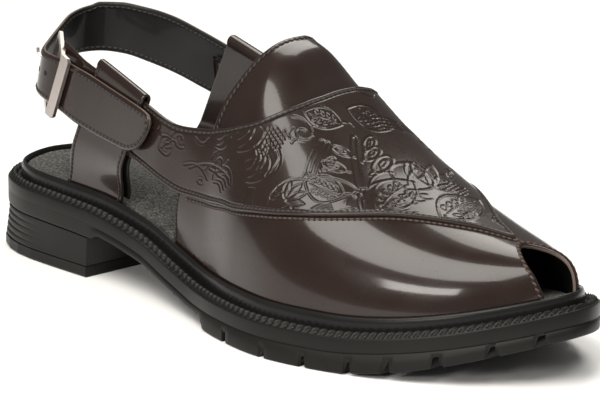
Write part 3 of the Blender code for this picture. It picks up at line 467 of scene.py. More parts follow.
# Tooled ornament
# columns: kind, along as a share of SHOE_LENGTH and turn at the base, length in mm, heading in degrees
MOTIFS = [
    ("sprig", 0.34, 0.11, 7, 30), ("tendril", 0.37, 0.13, 10, 15), ("bud", 0.40, 0.12, 8, 45),
    ("scroll", 0.42, 0.14, 9, 30), ("tendril", 0.45, 0.12, 14, 0), ("beads", 0.46, 0.12, 26, 15),
    ("bud", 0.46, 0.17, 9, 30), ("scroll", 0.50, 0.14, 12, 30), ("feather", 0.50, 0.18, 10, 45),
    ("tendril", 0.54, 0.17, 13, 225), ("feather", 0.55, 0.13, 10, 165), ("feather", 0.54, 0.20, 15, 75),
    ("feather", 0.57, 0.18, 16, 75), ("feather", 0.60, 0.20, 12, 120), ("strokes", 0.60, 0.14, 8, 120),
    ("tendril", 0.57, 0.27, 13, 345), ("sprig", 0.63, 0.18, 7, 90), ("bud", 0.66, 0.15, 10, 105),
    ("tendril", 0.63, 0.20, 16, 60), ("fan", 0.65, 0.21, 9, 75), ("strokes", 0.69, 0.23, 7, 60),
    ("sprig", 0.71, 0.24, 10, 45), ("sprig", 0.74, 0.27, 8, 240), ("scales", 0.60, 0.26, 9, 120),
    ("strokes", 0.57, 0.31, 10, 75), ("scroll", 0.62, 0.31, 10, 105), ("tendril", 0.60, 0.35, 10, 15),
    ("leaf", 0.71, 0.31, 16, 195), ("loops", 0.66, 0.30, 14, 120), ("seed", 0.67, 0.32, 8, 105),
    ("tendril", 0.72, 0.30, 10, 90), ("seed", 0.69, 0.37, 10, 210), ("seed", 0.68, 0.41, 9, 210),
    ("leaf", 0.64, 0.44, 15, 225), ("stem", 0.74, 0.31, 35, 135), ("tendril", 0.72, 0.38, 12, 90),
    ("seed", 0.68, 0.44, 10, 120), ("seed", 0.69, 0.42, 11, 105), ("seed", 0.71, 0.41, 14, 105),
    ("leaf", 0.75, 0.33, 22, 90), ("sprig", 0.76, 0.38, 14, 75), ("sprig", 0.77, 0.33, 10, 45),
    ("leaf", 0.66, 0.54, 19, 225), ("strokes", 0.65, 0.50, 12, 75), ("bud", 0.61, 0.52, 9, 120),
    ("bud", 0.75, 0.44, 18, 120), ("fan", 0.76, 0.49, 17, 120), ("seed", 0.75, 0.56, 9, 135),
    ("scales", 0.76, 0.52, 9, 45), ("leaf", 0.81, 0.42, 24, 90), ("seed", 0.83, 0.46, 8, 105),
    ("sprig", 0.83, 0.53, 10, 0), ("scales", 0.83, 0.56, 7, 30),
]
# Motifs wholly below this turn are repeated on the medial side
MIRRORED_TURN = 0.40
TOOL_WIDTH = 0.00036
TOOL_DEPTH = 0.00030
TOOL_LIP = 0.00005
TOOL_BORDER = 0.0028
TOOL_FADE = 0.0012

# Arcs of each motif, u from base to tip and v to the side, in shares of its length
# columns: u and v at the start, u and v at the end, bow, width factor, and points where not 12
ARCS = {
    "leaf": [(0, 0, 1, 0, 0.34, 1.0), (0, 0, 1, 0, -0.34, 1.0), (-0.25, -0.1, 0.1, 0, -0.2, 1.0),
             (0.16, 0, 0.86, 0, 0.05, 0.6)],
    "seed": [(-0.1, 0, 0.12, 0, 0.2, 0.9)],
    "bud": [(0, 0, 1, 0.1, 0.42, 1.0), (0, 0, 1, -0.1, -0.42, 1.0), (0.2, 0, 0.8, 0, 0.1, 0.8),
            (0.5, 0.12, 0.95, 0.2, 0.1, 0.7), (0.5, -0.12, 0.95, -0.2, -0.1, 0.7)],
    "fan": [(0.1 * math.cos(tilt), 0.08 * math.sin(tilt), math.cos(tilt), 0.8 * math.sin(tilt), bow, 0.8)
            for tilt in (-0.9, -0.3, 0.3, 0.9) for bow in (0.16, -0.16)],
    "feather": [(0, -0.35, 1, -0.3, -0.25, 1.0)] + [
        (0.1 + 0.06 * k, -0.28 + 0.2 * k, 0.75 + 0.05 * k, -0.1 + 0.2 * k, -0.2, 0.9) for k in range(4)],
    "loops": [(0, v, 1, v, 0.03, 0.8) for v in (-0.14, 0.0, 0.14)] + [
        (1, -0.14, 1, 0, -0.5, 0.8, 8), (1, 0, 1, 0.14, -0.5, 0.8, 8), (0, -0.14, 0, 0.14, 0.4, 0.8, 8)],
    "stem": [(0.32, -0.035, 1, -0.03, 0.03, 1.1), (0.32, 0.035, 1, 0.03, 0.03, 1.1),
             (1, -0.03, 1, 0.03, -0.4, 1.0, 6), (0, 0, 0.45, 0.3, -0.22, 1.0),
             (0, 0, 0.42, -0.28, 0.22, 1.0), (0, 0.03, 0.3, 0, 0.1, 0.9)],
    "sprig": [(0, 0, 1, 0, 0.1, 0.9)] + [
        (u, 0, u + 0.25, side * 0.22, side * 0.2, 0.8, 7) for u in (0.25, 0.5, 0.75) for side in (-1, 1)],
    "tendril": [(0, 0, 1, 0, 0.18, 1.0, 16), (0.55, 0.17, 0.85, 0.34, -0.25, 0.8)],
    "strokes": [(0, v, 1, v * 0.8, 0.08, 0.9) for v in (-0.24, -0.08, 0.08, 0.24)],
    "beads": [(0, 0, 1, 0, 0.12, 1.0, 20)],
    "scroll": [(0, 0, 0.35, -0.1, 0.2, 1.0), (0.1, 0.2, 0.5, 0.42, 0.2, 0.8)],
}


def arc(u0, v0, u1, v1, bow, count=12):
    """Bowed line between two points."""
    t = np.linspace(0.0, 1.0, count)
    du, dv = u1 - u0, v1 - v0
    swell = 4 * bow * t * (1 - t)
    return np.stack([u0 + du * t - dv * swell, v0 + dv * t + du * swell], -1)


def ellipse(u, v, a, b, tilt=0.0, count=18):
    """Closed oval about a point."""
    t = np.linspace(0.0, 2 * math.pi, count)
    x, y = a * np.cos(t), b * np.sin(t)
    cosine, sine = math.cos(tilt), math.sin(tilt)
    return np.stack([u + x * cosine - y * sine, v + x * sine + y * cosine], -1)


def motif(kind, size):
    """Strokes of a motif in shares of its length, each with a width factor."""
    lines = [(arc(*row[:5], *row[6:]), row[5]) for row in ARCS.get(kind, ())]
    if kind == "leaf":
        for k in range(4):
            for side in (-1, 1):
                lines.append((ellipse(0.26 + 0.15 * k, side * 0.13, 0.075, 0.045, side * 0.8, 9), 0.6))
    elif kind == "seed":
        lines += [(ellipse(0.55, 0, 0.45, 0.2), 1.0), (ellipse(0.58, 0, 0.2, 0.06, 0.1, 12), 0.8)]
    elif kind == "scales":
        rows = max(3, int(size / 1.7))
        wide, tall = 0.55 / size, 0.35 / size
        for k in range(rows):
            for m in range(-2, 3):
                u, v = (k + 0.5 * (m % 2)) / rows, m * 1.5 / size
                lines.append((arc(u, v - tall, u + wide, v + tall, 0.3, 4), 0.9))
    elif kind == "beads":
        lines.append((ellipse(0.25, -0.16, 0.06, 0.04), 0.8))
        for u in np.linspace(0.4, 0.9, 8):
            lines.append((ellipse(u, 0.1 - 0.25 * (u - 0.5) ** 2, 0.35 / size, 0.3 / size, 0, 6), 0.8))
    elif kind == "scroll":
        t = np.linspace(0.0, 1.6 * math.pi, 20)
        radius = 0.12 + 0.05 * t
        lines.append((np.stack([0.6 + radius * np.cos(t), radius * np.sin(t)], -1), 1.0))
    return lines


def ornament():
    """Tooled lines of the vamp as points in space, with widths and the way they face."""
    strokes = []

    def place(share, turn, mirrored):
        return skin(share * SHOE_LENGTH, 1.0 - turn if mirrored else turn, WING_OUT)

    for kind, share, turn, size, heading in MOTIFS:
        turned = math.radians(heading)
        for mirrored in (False, True):
            base = place(share, turn, mirrored)
            step = place(share + 0.004, turn, mirrored) - base
            rise = place(share, turn + 0.006, mirrored) - base
            top = turn + 0.006 * size / 1000 * math.sin(turned) / np.linalg.norm(rise)
            if mirrored and max(turn, top) > MIRRORED_TURN:
                continue
            normal = np.cross(step, rise)
            normal /= np.linalg.norm(normal)
            forward = step / np.linalg.norm(step)
            upward = np.cross(normal, forward)
            ahead = math.cos(turned) * forward + math.sin(turned) * upward
            beside = np.cross(normal, ahead)
            for line, width in motif(kind, size):
                flat = line * size / 1000
                strokes.append((base + flat[:, :1] * ahead + flat[:, 1:] * beside, width, normal))
    return strokes


def tooled(grid, strokes, border):
    """Relief in metres of pressed lines with raised lips, fading out at the border."""
    flat = grid.reshape(-1, 3)
    depth = np.zeros(len(flat))
    lip = np.zeros(len(flat))
    for line, width, normal in strokes:
        wide = TOOL_WIDTH * width
        margin = 4 * wide + np.abs(normal) * 0.006
        low, high = line.min(0) - margin, line.max(0) + margin
        near = np.flatnonzero(((flat > low) & (flat < high)).all(1))
        if not len(near):
            continue
        points = flat[near]
        points = points - np.outer((points - line[0]) @ normal, normal)
        best = np.full(len(near), 1.0)
        for a, b in zip(line[:-1], line[1:]):
            ab = b - a
            t = np.clip((points - a) @ ab / max(ab @ ab, 1e-12), 0.0, 1.0)
            best = np.minimum(best, np.linalg.norm(points - a - t[:, None] * ab, axis=1))
        depth[near] = np.maximum(depth[near], np.exp(-(best / wide) ** 2))
        lip[near] = np.maximum(lip[near], np.exp(-((best - 1.9 * wide) / (0.8 * wide)) ** 2))
    relief = TOOL_LIP * lip * (1 - depth) - TOOL_DEPTH * depth
    return relief.reshape(grid.shape[:2]) * smooth((border - TOOL_BORDER) / TOOL_FADE)


def stitches(name, line, normals, kind):
    """Row of thread stitches on a line in space, with a dark bead of painted shade for the hole between each
    two.
    """
    _, pitch, shade, size, slant = SEAMS[kind]
    reach = np.concatenate([[0.0], np.cumsum(np.linalg.norm(np.diff(line, axis=0), axis=1))])
    spots = np.arange(pitch / 2, reach[-1], pitch / 2)
    tangent = np.gradient(line, axis=0)
    place, along, up = (np.stack([np.interp(spots, reach, data[:, k]) for k in range(3)], -1)
                        for data in (line, tangent, normals))
    along /= np.linalg.norm(along, axis=1)[:, None]
    up -= along * np.sum(up * along, 1)[:, None]
    up /= np.linalg.norm(up, axis=1)[:, None]
    beside = np.cross(up, along)
    along = along * math.cos(slant) + beside * math.sin(slant)
    beside = np.cross(up, along)
    rings, around = 6, 8
    theta = np.linspace(0.05, math.pi - 0.05, rings)[:, None]
    phi = np.linspace(0, 2 * math.pi, around, endpoint=False)
    bead = np.stack([-np.cos(theta) * np.ones(around), np.sin(theta) ** 0.6 * np.cos(phi),
                     np.sin(theta) ** 0.6 * np.sin(phi)], -1).reshape(-1, 3)
    base = grid_quads(rings, around, 0, True)
    points, quads = [], []
    for k in range(len(spots)):
        shape = bead * np.array(size if k % 2 == 0 else HOLE_SHADE_SIZE)
        points.append(place[k] + shape[:, :1] * along[k] + shape[:, 1:2] * beside[k] + shape[:, 2:] * up[k])
        quads.append(base + k * rings * around)
    # Every second bead is painted near-black as the shade inside a stitch hole
    index = np.repeat(np.arange(len(spots)) % 2, len(base))
    return make(name, np.vstack(points), np.vstack(quads), [shade, PAINTED_HOLE_SHADE], index)


def row_line(grid, inset, axis=0, end=0):
    """Line on a grid at a distance from one of its edges, with the outward normals."""
    data = grid if end == 0 else np.flip(grid, axis)
    if axis == 1:
        data = data.transpose(1, 0, 2)
    reach = lengths(data, 0)
    line, deep = (np.array([[np.interp(depth, reach[:, j], data[:, j, k]) for k in range(3)]
                            for j in range(data.shape[1])]) for depth in (inset, inset + 0.0015))
    normal = np.cross(np.gradient(line, axis=0), deep - line)
    normal /= np.linalg.norm(normal, axis=1)[:, None]
    return line, normal


def facing(line, normals, centre):
    """Normals turned away from a middle line."""
    flip = np.sum(normals * (line - centre), axis=1) < 0
    return np.where(flip[:, None], -normals, normals)


def heart_of(line, share):
    """Points in the middle of the shoe beside a line, at a share of its height."""
    return np.column_stack([np.maximum(line[:, 0], HEART_AHEAD), np.zeros(len(line)), line[:, 2] * share])


def ridge_heart(x):
    """Points below the upper's ridge, inside the shoe."""
    return section(x, 0.5) * (1.0, 1.0, 0.4)


def seam(name, kind, grid, axis, end, heart, trim=slice(None), inside=False):
    """Stitches along an edge of a grid; heart is a middle line, or the share of the height it lies at."""
    line, normals = row_line(grid, SEAMS[kind][0], axis, end)
    if np.isscalar(heart):
        heart = heart_of(line, heart)
    normals = facing(line, normals, heart) * (-1.0 if inside else 1.0)
    stitches(name, line[trim], normals[trim], kind)


# Materials
def shader(name, colour, rough, metal=0.0, **sockets):
    """New material of one colour, with its tree and its shader."""
    mat = bpy.data.materials.new(name)
    mat.use_nodes = True
    tree = mat.node_tree
    surface = tree.nodes["Principled BSDF"]
    surface.inputs["Base Color"].default_value = (*colour, 1.0)
    surface.inputs["Roughness"].default_value = rough
    surface.inputs["Metallic"].default_value = metal
    for socket, value in sockets.items():
        surface.inputs[socket.replace("_", " ")].default_value = value
    return mat, tree, surface


def texture(tree, kind, scale, detail=2.0):
    """Texture in the object's own coordinates."""
    node = tree.nodes.new("ShaderNodeTex" + kind)
    node.inputs["Scale"].default_value = scale
    if "Detail" in node.inputs:
        node.inputs["Detail"].default_value = detail
    where = tree.nodes.get("Where") or tree.nodes.new("ShaderNodeTexCoord")
    where.name = "Where"
    tree.links.new(where.outputs["Object"], node.inputs["Vector"])
    return node.outputs["Distance"] if kind == "Voronoi" else node.outputs[0]


def paint(tree, surface, socket, value, stops):
    """Lead a texture through a ramp of greys or colours into a socket of the shader."""
    node = tree.nodes.new("ShaderNodeValToRGB")
    for element, (spot, colour) in zip(node.color_ramp.elements, (stops[0], stops[-1])):
        element.position = spot
        element.color = (*colour, 1.0)
    for spot, colour in stops[1:-1]:
        node.color_ramp.elements.new(spot).color = (*colour, 1.0)
    tree.links.new(value, node.inputs[0])
    tree.links.new(node.outputs[0], surface.inputs[socket])


def bump(tree, surface, layers):
    """Stack of heights, each with its distance in metres and strength."""
    last = None
    for height, distance, strength in layers:
        node = tree.nodes.new("ShaderNodeBump")
        node.inputs["Distance"].default_value = distance
        node.inputs["Strength"].default_value = strength
        tree.links.new(height, node.inputs["Height"])
        if last is not None:
            tree.links.new(last, node.inputs["Normal"])
        last = node.outputs[0]
    tree.links.new(last, surface.inputs["Normal"])


def leather(name, dark, light, rough, coat=0.52, grain=0.25):
    """Coated leather with a mottled colour, soft waves and pores."""
    coating = {"Coat_Weight": coat, "Coat_Roughness": 0.09}
    mat, tree, surface = shader(name, dark, rough, Specular_IOR_Level=0.15, **coating)
    paint(tree, surface, "Base Color", texture(tree, "Noise", 38.0, 4.0), [(0.3, dark), (0.7, light)])
    greys = [(0.3, (rough * 0.85,) * 3), (0.7, (rough * 1.2,) * 3)]
    paint(tree, surface, "Roughness", texture(tree, "Noise", 90.0, 3.0), greys)
    bump(tree, surface, [(texture(tree, "Noise", 22.0, 1.0), 0.0020, 0.22),
                         (texture(tree, "Noise", 60.0, 2.0), 0.0006, 0.16),
                         (texture(tree, "Voronoi", 1500.0), 0.00005, grain)])
    return mat


def rubber(name, colour, rough, scale=700.0):
    """Matt rubber or edge ink with a faint mottle and a fine grain."""
    mat, tree, surface = shader(name, colour, rough, Specular_IOR_Level=0.16)
    light = tuple(c * 1.5 for c in colour)
    paint(tree, surface, "Base Color", texture(tree, "Noise", 25.0, 4.0), [(0.35, colour), (0.7, light)])
    bump(tree, surface, [(texture(tree, "Noise", 120.0, 3.0), 0.0004, 0.15),
                         (texture(tree, "Noise", scale), 0.00006, 0.5)])
    return mat


def thread(name, colour):
    """Twisted thread with light and dark strands."""
    mat, tree, surface = shader(name, colour, 0.55)
    light = tuple(c * 1.8 for c in colour)
    paint(tree, surface, "Base Color", texture(tree, "Noise", 1800.0), [(0.35, colour), (0.65, light)])
    bump(tree, surface, [(texture(tree, "Wave", 900.0), 0.00008, 0.6)])
    return mat


def woven(name):
    """Heathered cloth of dark, middle and pale flecks."""
    mat, tree, surface = shader(name, (0.08, 0.078, 0.07), 0.95)
    flecks = [(0.34, (0.012, 0.0118, 0.011)), (0.50, (0.046, 0.045, 0.041)), (0.66, (0.135, 0.132, 0.124))]
    paint(tree, surface, "Base Color", texture(tree, "Noise", 1200.0), flecks)
    bump(tree, surface, [(texture(tree, "Voronoi", 900.0), 0.0002, 0.7)])
    return mat


def nickel(name):
    """Satin plated metal with uneven polish."""
    mat, tree, surface = shader(name, (0.62, 0.56, 0.53), 0.3, 1.0)
    greys = [(0.3, (0.26,) * 3), (0.7, (0.38,) * 3)]
    paint(tree, surface, "Roughness", texture(tree, "Noise", 400.0, 3.0), greys)
    bump(tree, surface, [(texture(tree, "Noise", 900.0), 0.00002, 0.4)])
    return mat


BROWN = leather("polished_leather", (0.0140, 0.0078, 0.0064), (0.0195, 0.0112, 0.0094), 0.24)
TOOLED = leather("tooled_leather", (0.0150, 0.0088, 0.0072), (0.0210, 0.0128, 0.0106), 0.28, 0.48)
LINING = leather("black_lining", (0.0085, 0.0085, 0.0085), (0.014, 0.0138, 0.0135), 0.5, 0.15, 0.5)
CUT_EDGE = rubber("cut_leather_edge", (0.085, 0.066, 0.056), 0.6, 1500.0)
DARK_EDGE = rubber("inked_leather_edge", (0.020, 0.014, 0.012), 0.45, 1500.0)
SOLE = rubber("moulded_sole", (0.0070, 0.0071, 0.0064), 0.46)
GLOSS = rubber("glossy_sole_band", (0.008, 0.008, 0.0078), 0.26)
KNURL = rubber("knurled_welt", (0.007, 0.007, 0.0065), 0.36)
FOOTBED = woven("heathered_footbed")
NICKEL = nickel("satin_nickel")
# Near-black painted shade, standing in for the dark inside of the stitch and pin holes
PAINTED_HOLE_SHADE = shader("stitch_hole_painted_shade", (0.002, 0.0015, 0.0015), 0.8)[0]
DARK_THREAD = thread("dark_thread", (0.020, 0.014, 0.012))
BLACK_THREAD = thread("black_thread", (0.012, 0.012, 0.011))
BROWN_THREAD = thread("brown_thread", (0.055, 0.030, 0.022))

# Half sizes of a stitch and of the dark bead of painted shade for the hole between two: along, across and up
STITCH = (0.00092, 0.00046, 0.00042)
HOLE_SHADE_SIZE = (0.00055, 0.00075, 0.00030)
# Nearest point to the heel from which a seam's outward side is told
HEART_AHEAD = 0.05
# columns: distance from the edge, pitch, thread, half size of a stitch, slant
SEAMS = {
    "peep": (0.0019, 0.0024, BROWN_THREAD, (0.0010, 0.00044, 0.0004), 0.5),
    "panel_rear": (0.0017, 0.0022, DARK_THREAD, STITCH, 0.0),
    "band_top": (0.0020, 0.0023, DARK_THREAD, STITCH, 0.0),
    "band_low": (0.0026, 0.0021, DARK_THREAD, STITCH, 0.0),
    "panel": (0.0013, 0.0021, BROWN_THREAD, STITCH, 0.0),
    "tongue": (0.0027, 0.0025, DARK_THREAD, (0.0010, 0.00048, 0.00042), 0.5),
    "side_strap": (0.0019, 0.0022, DARK_THREAD, STITCH, 0.0),
    "heel_strap": (0.0019, 0.0024, DARK_THREAD, STITCH, 0.0),
    "lining": (0.0021, 0.0024, BLACK_THREAD, STITCH, 0.0),
}

# Radius of the rounded border of each piece
PANEL_ROUND = 0.0008
BAND_ROUND = 0.0007
TONGUE_ROUND = 0.0011
STRAP_ROUND = 0.0004
HEEL_STRAP_ROUND = 0.0005
COVER_ROUND = 0.0003
FOOTBED_ROUND = 0.0012

# Upper, with the points to each row of its tables
PANEL_ROWS = 12
along, turn = fine_band(PANEL_BAND, PANEL_ROWS, 64)
face = skin(along, turn, -rounded(edge_distance(skin(along, turn)), PANEL_ROUND))
panel = two_faced("vamp_panel", face, skin(along, turn, -LEATHER), [BROWN, LINING, CUT_EDGE])
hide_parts("upper")

# The open toe starts at the ninth row of PANEL_BAND
peep_start = PANEL_ROWS * 8 + 2
seam("peep_stitch", "peep", face[:, peep_start:-peep_start], 0, 1, 0.5)
for end in (0, 1):
    seam("panel_rear_stitch_%d" % end, "panel_rear", face, 1, end, 0.5)

OVERLAY_ROWS = 40
# Rolled rim and pressed seam along the band's lower edge: distance from the edge, width, height
SEAM_WIDTH = 0.0005
BAND_RIDGES = [(0.0011, 0.0007, 0.00030), (SEAMS["band_low"][0], SEAM_WIDTH, -0.00022)]
BAND_PRESS = 0.00016
TONGUE_PRESS = 0.00015
strokes = ornament()
for half, side_name in ((0, "lateral"), (1, "medial")):
    along, turn = fine_band(OVERLAY_BAND, OVERLAY_ROWS, 198, half)
    flat = skin(along, turn, WING_OUT)
    across, ahead = lengths(flat, 0), lengths(flat, 1)
    low_edge = across[-1:] - across
    tail = ahead if half == 0 else ahead[:, -1:] - ahead
    border = np.minimum(np.minimum(across, low_edge), tail)
    relief = tooled(flat, strokes, border) - rounded(border, BAND_ROUND)
    for place, width, height in BAND_RIDGES:
        relief += height * np.exp(-((low_edge - place) / width) ** 2)
    relief -= BAND_PRESS * np.exp(-((across - SEAMS["band_top"][0]) / SEAM_WIDTH) ** 2)
    top = skin(along, turn, WING_OUT + relief)
    rows, cols = along.shape
    piece = make("vamp_band_" + side_name, top, grid_quads(rows, cols), [TOOLED])
    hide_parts("vamp_overlay")
    base = skin(along, turn, GAP * 0.5)
    end, way = (0, -1) if half == 0 else (-1, 1)
    rim = [np.concatenate([data[0][::way], data[:, end][1:], data[-1][::-way][1:]]) for data in (top, base)]
    make("vamp_band_edge_" + side_name, np.stack(rim), grid_quads(2, len(rim[0])), [DARK_EDGE])
    for tag, end in (("top", 0), ("low", 1)):
        seam("band_stitch_%s_%s" % (tag, side_name), "band_" + tag, top, 0, end, ridge_heart(along[0]))
    # The panel's own seam runs just outside the band, from where the panel begins
    first = OVERLAY_ROWS * 3 + 11
    picks = slice(first, None) if half == 0 else slice(0, cols - first)
    share = 1.0 + SEAMS["panel"][0] / across[-1]
    seam_along = (along[0] + (along[-1] - along[0]) * share)[picks]
    seam_turn = (turn[0] + (turn[-1] - turn[0]) * share)[picks]
    line = skin(seam_along, seam_turn, 0.0001)
    lifted = skin(seam_along, seam_turn, 0.0011)
    stitches("panel_stitch_" + side_name, line, lifted - line, "panel")

# Tongue, under the band
arch_turns = np.array(TONGUE_ARCH)[:, 0]
both_turns = np.concatenate([arch_turns, 1.0 - arch_turns[-2::-1]])
turns = np.interp(eased(131), np.linspace(0, 1, len(both_turns)), both_turns)
rear = curve(TONGUE_ARCH, np.minimum(turns, 1.0 - turns))
share = eased(60)[:, None]
along = (rear * (1 - share) + TONGUE_FRONT * share) * SHOE_LENGTH
turn = np.broadcast_to(turns, along.shape)
level = -LEATHER - GAP
flat = skin(along, turn, level)
pressed = TONGUE_PRESS * np.exp(-((lengths(flat, 0) - SEAMS["tongue"][0]) / SEAM_WIDTH) ** 2)
top = skin(along, turn, level - rounded(edge_distance(flat), TONGUE_ROUND) - pressed)
under = skin(along, turn, level - TONGUE_THICKNESS)
tongue = two_faced("instep_tongue", top, under, [BROWN, LINING, CUT_EDGE])
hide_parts("tongue")
seam("tongue_stitch", "tongue", top, 0, 0, ridge_heart(along[0]))


def folded_strap(name, legs, fold, across):
    """Outer and inner grids of a strap folded over the band, foot to fold and back."""
    side, low_rear, low_front, top_rear, top_front, fold_rear, fold_front = SIDE_STRAPS[name]
    half = STRAP_LEATHER / 2
    inner_leg = -GAP - half
    outer_leg = WING_OUT + GAP + half
    if side > 0:
        outer_leg += HEEL_STRAP_THICKNESS + GAP
    radius = (outer_leg - inner_leg) / 2
    # columns: share of the leg's height, distance out of the strap wall, lift, how far the face points out
    path = [(t, outer_leg, 0.0, 1.0) for t in np.linspace(0.0, 1.0, legs)]
    for k in range(1, fold):
        cosine, sine = math.cos(math.pi * k / fold), math.sin(math.pi * k / fold)
        path.append((1.0, inner_leg + radius + radius * cosine, radius * sine, cosine))
    path += [(t, inner_leg, 0.0, -1.0) for t in np.linspace(1.0, INNER_LEG_END, legs)]
    widths = eased(across)
    grids = []
    for sign in (1.0, -1.0):
        grid = []
        for t, out, lift, facing_out in path:
            rear_x = (low_rear + (top_rear - low_rear) * t) * SHOE_LENGTH
            front_x = (low_front + (top_front - low_front) * t) * SHOE_LENGTH
            x = rear_x + (front_x - rear_x) * widths
            top_z = (fold_rear + (fold_front - fold_rear) * widths) * INSTEP_HEIGHT - radius
            z = seat(x) + 2 * GAP + (top_z - seat(x) - 2 * GAP) * t
            z = z + lift + math.sqrt(max(0.0, 1.0 - facing_out * facing_out)) * half * sign
            reach = out + facing_out * half * sign
            base = np.abs(wall_y(x, z, side)) + reach + strap_shift(x, z, side, outer_leg + half)
            grid.append(np.stack([x, side * base, z], -1))
        grids.append(np.array(grid))
    return grids


def softened(outer, inner, radius):
    """Two faces of a sheet with rounded borders."""
    away = outer - inner
    away /= np.linalg.norm(away, axis=-1)[..., None]
    drop = rounded(edge_distance(outer), radius)[..., None]
    return outer - away * drop, inner + away * drop


LEG_ROWS = 60
for name in SIDE_STRAPS:
    outer, inner = softened(*folded_strap(name, LEG_ROWS, 14, 40), STRAP_ROUND)
    strap = two_faced(name + "_leather", outer, inner, [BROWN, LINING, DARK_EDGE])
    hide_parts(name)
    for end in (0, 1):
        seam("%s_stitch_%d" % (name, end), "side_strap", outer[:LEG_ROWS], 1, end, 1.0)

near, far = heel_strap_grid(HEEL_STRAP, 10, 28)
far, near = softened(far, near, HEEL_STRAP_ROUND)
sling = two_faced("heel_strap_leather", far, near, [BROWN, LINING, CUT_EDGE])
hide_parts("heel_strap")
for end in (0, 1):
    seam("heel_strap_stitch_%d" % end, "heel_strap", far, 0, end, 1.0, slice(2, None))
    seam("heel_strap_lining_stitch_%d" % end, "lining", near, 0, end, 1.0, slice(2, None), True)
seam("heel_strap_stitch_tip", "heel_strap", far, 1, 0, 1.0, slice(2, -2))

# columns: radius from the hole's middle, height over the leather
PIN_RINGS = [(0.00005, 0.00012), (0.0009, 0.00012), (0.0011, 0.00010), (0.0012, -0.00005)]


def painted_pin_hole_shade(name, along, height):
    """Punched hole drawn as a dark disc of painted shade with a pressed rim, on the heel strap beside the
    buckle.
    """
    reach = path_reach(along, -1)
    spot = np.argmin(np.linalg.norm(far - wall_at(reach, height * INSTEP_HEIGHT, OUT_SIDE + 0.0025), axis=-1))
    i, j = np.unravel_index(spot, far.shape[:2])
    u = far[i, j + 1] - far[i, j - 1]
    v = far[i + 1, j] - far[i - 1, j]
    normal = np.cross(u, v)
    normal /= np.linalg.norm(normal)
    if normal[1] > 0:
        normal = -normal
    u /= np.linalg.norm(u)
    v = np.cross(normal, u)
    theta = np.linspace(0, 2 * math.pi, 20, endpoint=False)
    spokes = np.cos(theta)[:, None] * u + np.sin(theta)[:, None] * v
    points = [far[i, j] + radius * spokes + normal * height for radius, height in PIN_RINGS]
    make(name, np.stack(points), grid_quads(len(PIN_RINGS), len(theta), 0, True), [PAINTED_HOLE_SHADE])


# Each pin hole is a near-black disc of painted shade laid on the strap, not a cut
# columns: along as a share of SHOE_LENGTH, height as a share of INSTEP_HEIGHT
PIN_HOLES = {"pin_hole_a": (0.150, 0.862), "pin_hole_b": (0.128, 0.866)}
for name, (along, height) in PIN_HOLES.items():
    painted_pin_hole_shade(name, along, height)

# Sole
TOE_INDEX = TOE_POINT * SPAN
SIDE_LINES = []
for index in (0, 1):
    flat = sides(0.0)[index]
    medial = np.vstack([EDGE_INWARD[:1], EDGE_INWARD[TOE_INDEX:][::-1]])
    inward = EDGE_INWARD[: TOE_INDEX + 1] if index == 0 else medial
    order = np.argsort(flat[:, 0])
    SIDE_LINES.append(np.column_stack([flat[order], inward[order]]))


def ring(inset, height, xs=STATION_X):
    """Closed line round the sole at an inset and height, lateral heel to toe then medial back."""
    lines = []
    for data in SIDE_LINES:
        y, nx, ny = (np.interp(xs, data[:, 0], data[:, k]) for k in (1, 2, 3))
        amount = inset(xs) if callable(inset) else inset
        lines.append(np.stack([xs + nx * amount, y + ny * amount], -1))
    plan = np.vstack([lines[0], lines[1][1:-1][::-1]])
    return np.column_stack([plan, height(plan[:, 0]) if callable(height) else np.full(len(plan), height)])


def raised(base, rows):
    """Lines round the sole, each at an inset and a rise above a level."""
    return [ring(inset, lambda x, rise=rise: base(x) + rise) for inset, rise in rows]


def shell(name, rings, slots, capped=True):
    """Skin over closed lines, with the first and the last filled where capped."""
    count = len(rings[0])
    quads = grid_quads(len(rings), count, 0, True)
    if capped:
        k = np.arange(1, count // 2 - 1)
        for start in (0, (len(rings) - 1) * count):
            quads = np.vstack([quads, np.stack([k, k + 1, count - k - 1, count - k], -1) + start])
    return make(name, np.vstack(rings), quads, slots)


def tread(x):
    """Height of the underside with its cross channels."""
    cut = np.zeros(np.shape(x))
    for spot in LUG_SPACING:
        cut[np.abs(x - spot * SHOE_LENGTH) < (LUG_CHANNEL + LUG_WALL) / 2] = 1.0
    return bottom(x) + LUG_DEPTH * cut


SHANK_GROOVE = 0.0004


def shank_groove(x):
    """Thin groove along the sole's side, ahead of the heel."""
    return SHANK_GROOVE * smooth((np.asarray(x) / SHOE_LENGTH - HEEL_BREAST) / 0.03)


# columns of these profiles: inset from the sole's edge, rise above the tread or the seat
TREAD_PROFILE = [(0.0012, 0.0), (0.0005, 0.0001), (0.0001, 0.0005), (0.0, 0.0011)]
SIDE_PROFILE = [(0.0, -0.0035), (shank_groove, -0.0033), (shank_groove, -0.0031), (0.0, -0.0029),
                (0.0, -0.00285), (0.0012, -0.00285), (0.0012, 0.0)]
outsole = shell("outsole_body", raised(tread, TREAD_PROFILE) + raised(seat, SIDE_PROFILE), [SOLE])
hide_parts("outsole")


# Heel with moulded ribs round its back
def heel_front(height):
    """Where the heel ends in front, at a height."""
    breast = HEEL_BREAST * SHOE_LENGTH
    return breast - BREAST_SLANT + 1.2 * BREAST_SLANT * (height + 0.01) / 0.06


def heel_inset(x, up):
    """Inset of the heel's side, flared at the foot and grooved between its ribs."""
    back = 1.0 - smooth(x / (0.75 * HEEL_BREAST * SHOE_LENGTH))
    fade = 1.0 - smooth((x / SHOE_LENGTH - 0.01) / 0.15)
    groove = HEEL_GROOVE * (0.5 + 0.5 * math.cos(2 * math.pi * HEEL_RIBS * up)) ** 3 * fade
    return HEEL_INSET + groove - HEEL_FLARE * (1 - up) ** 1.3 * back * 0.6


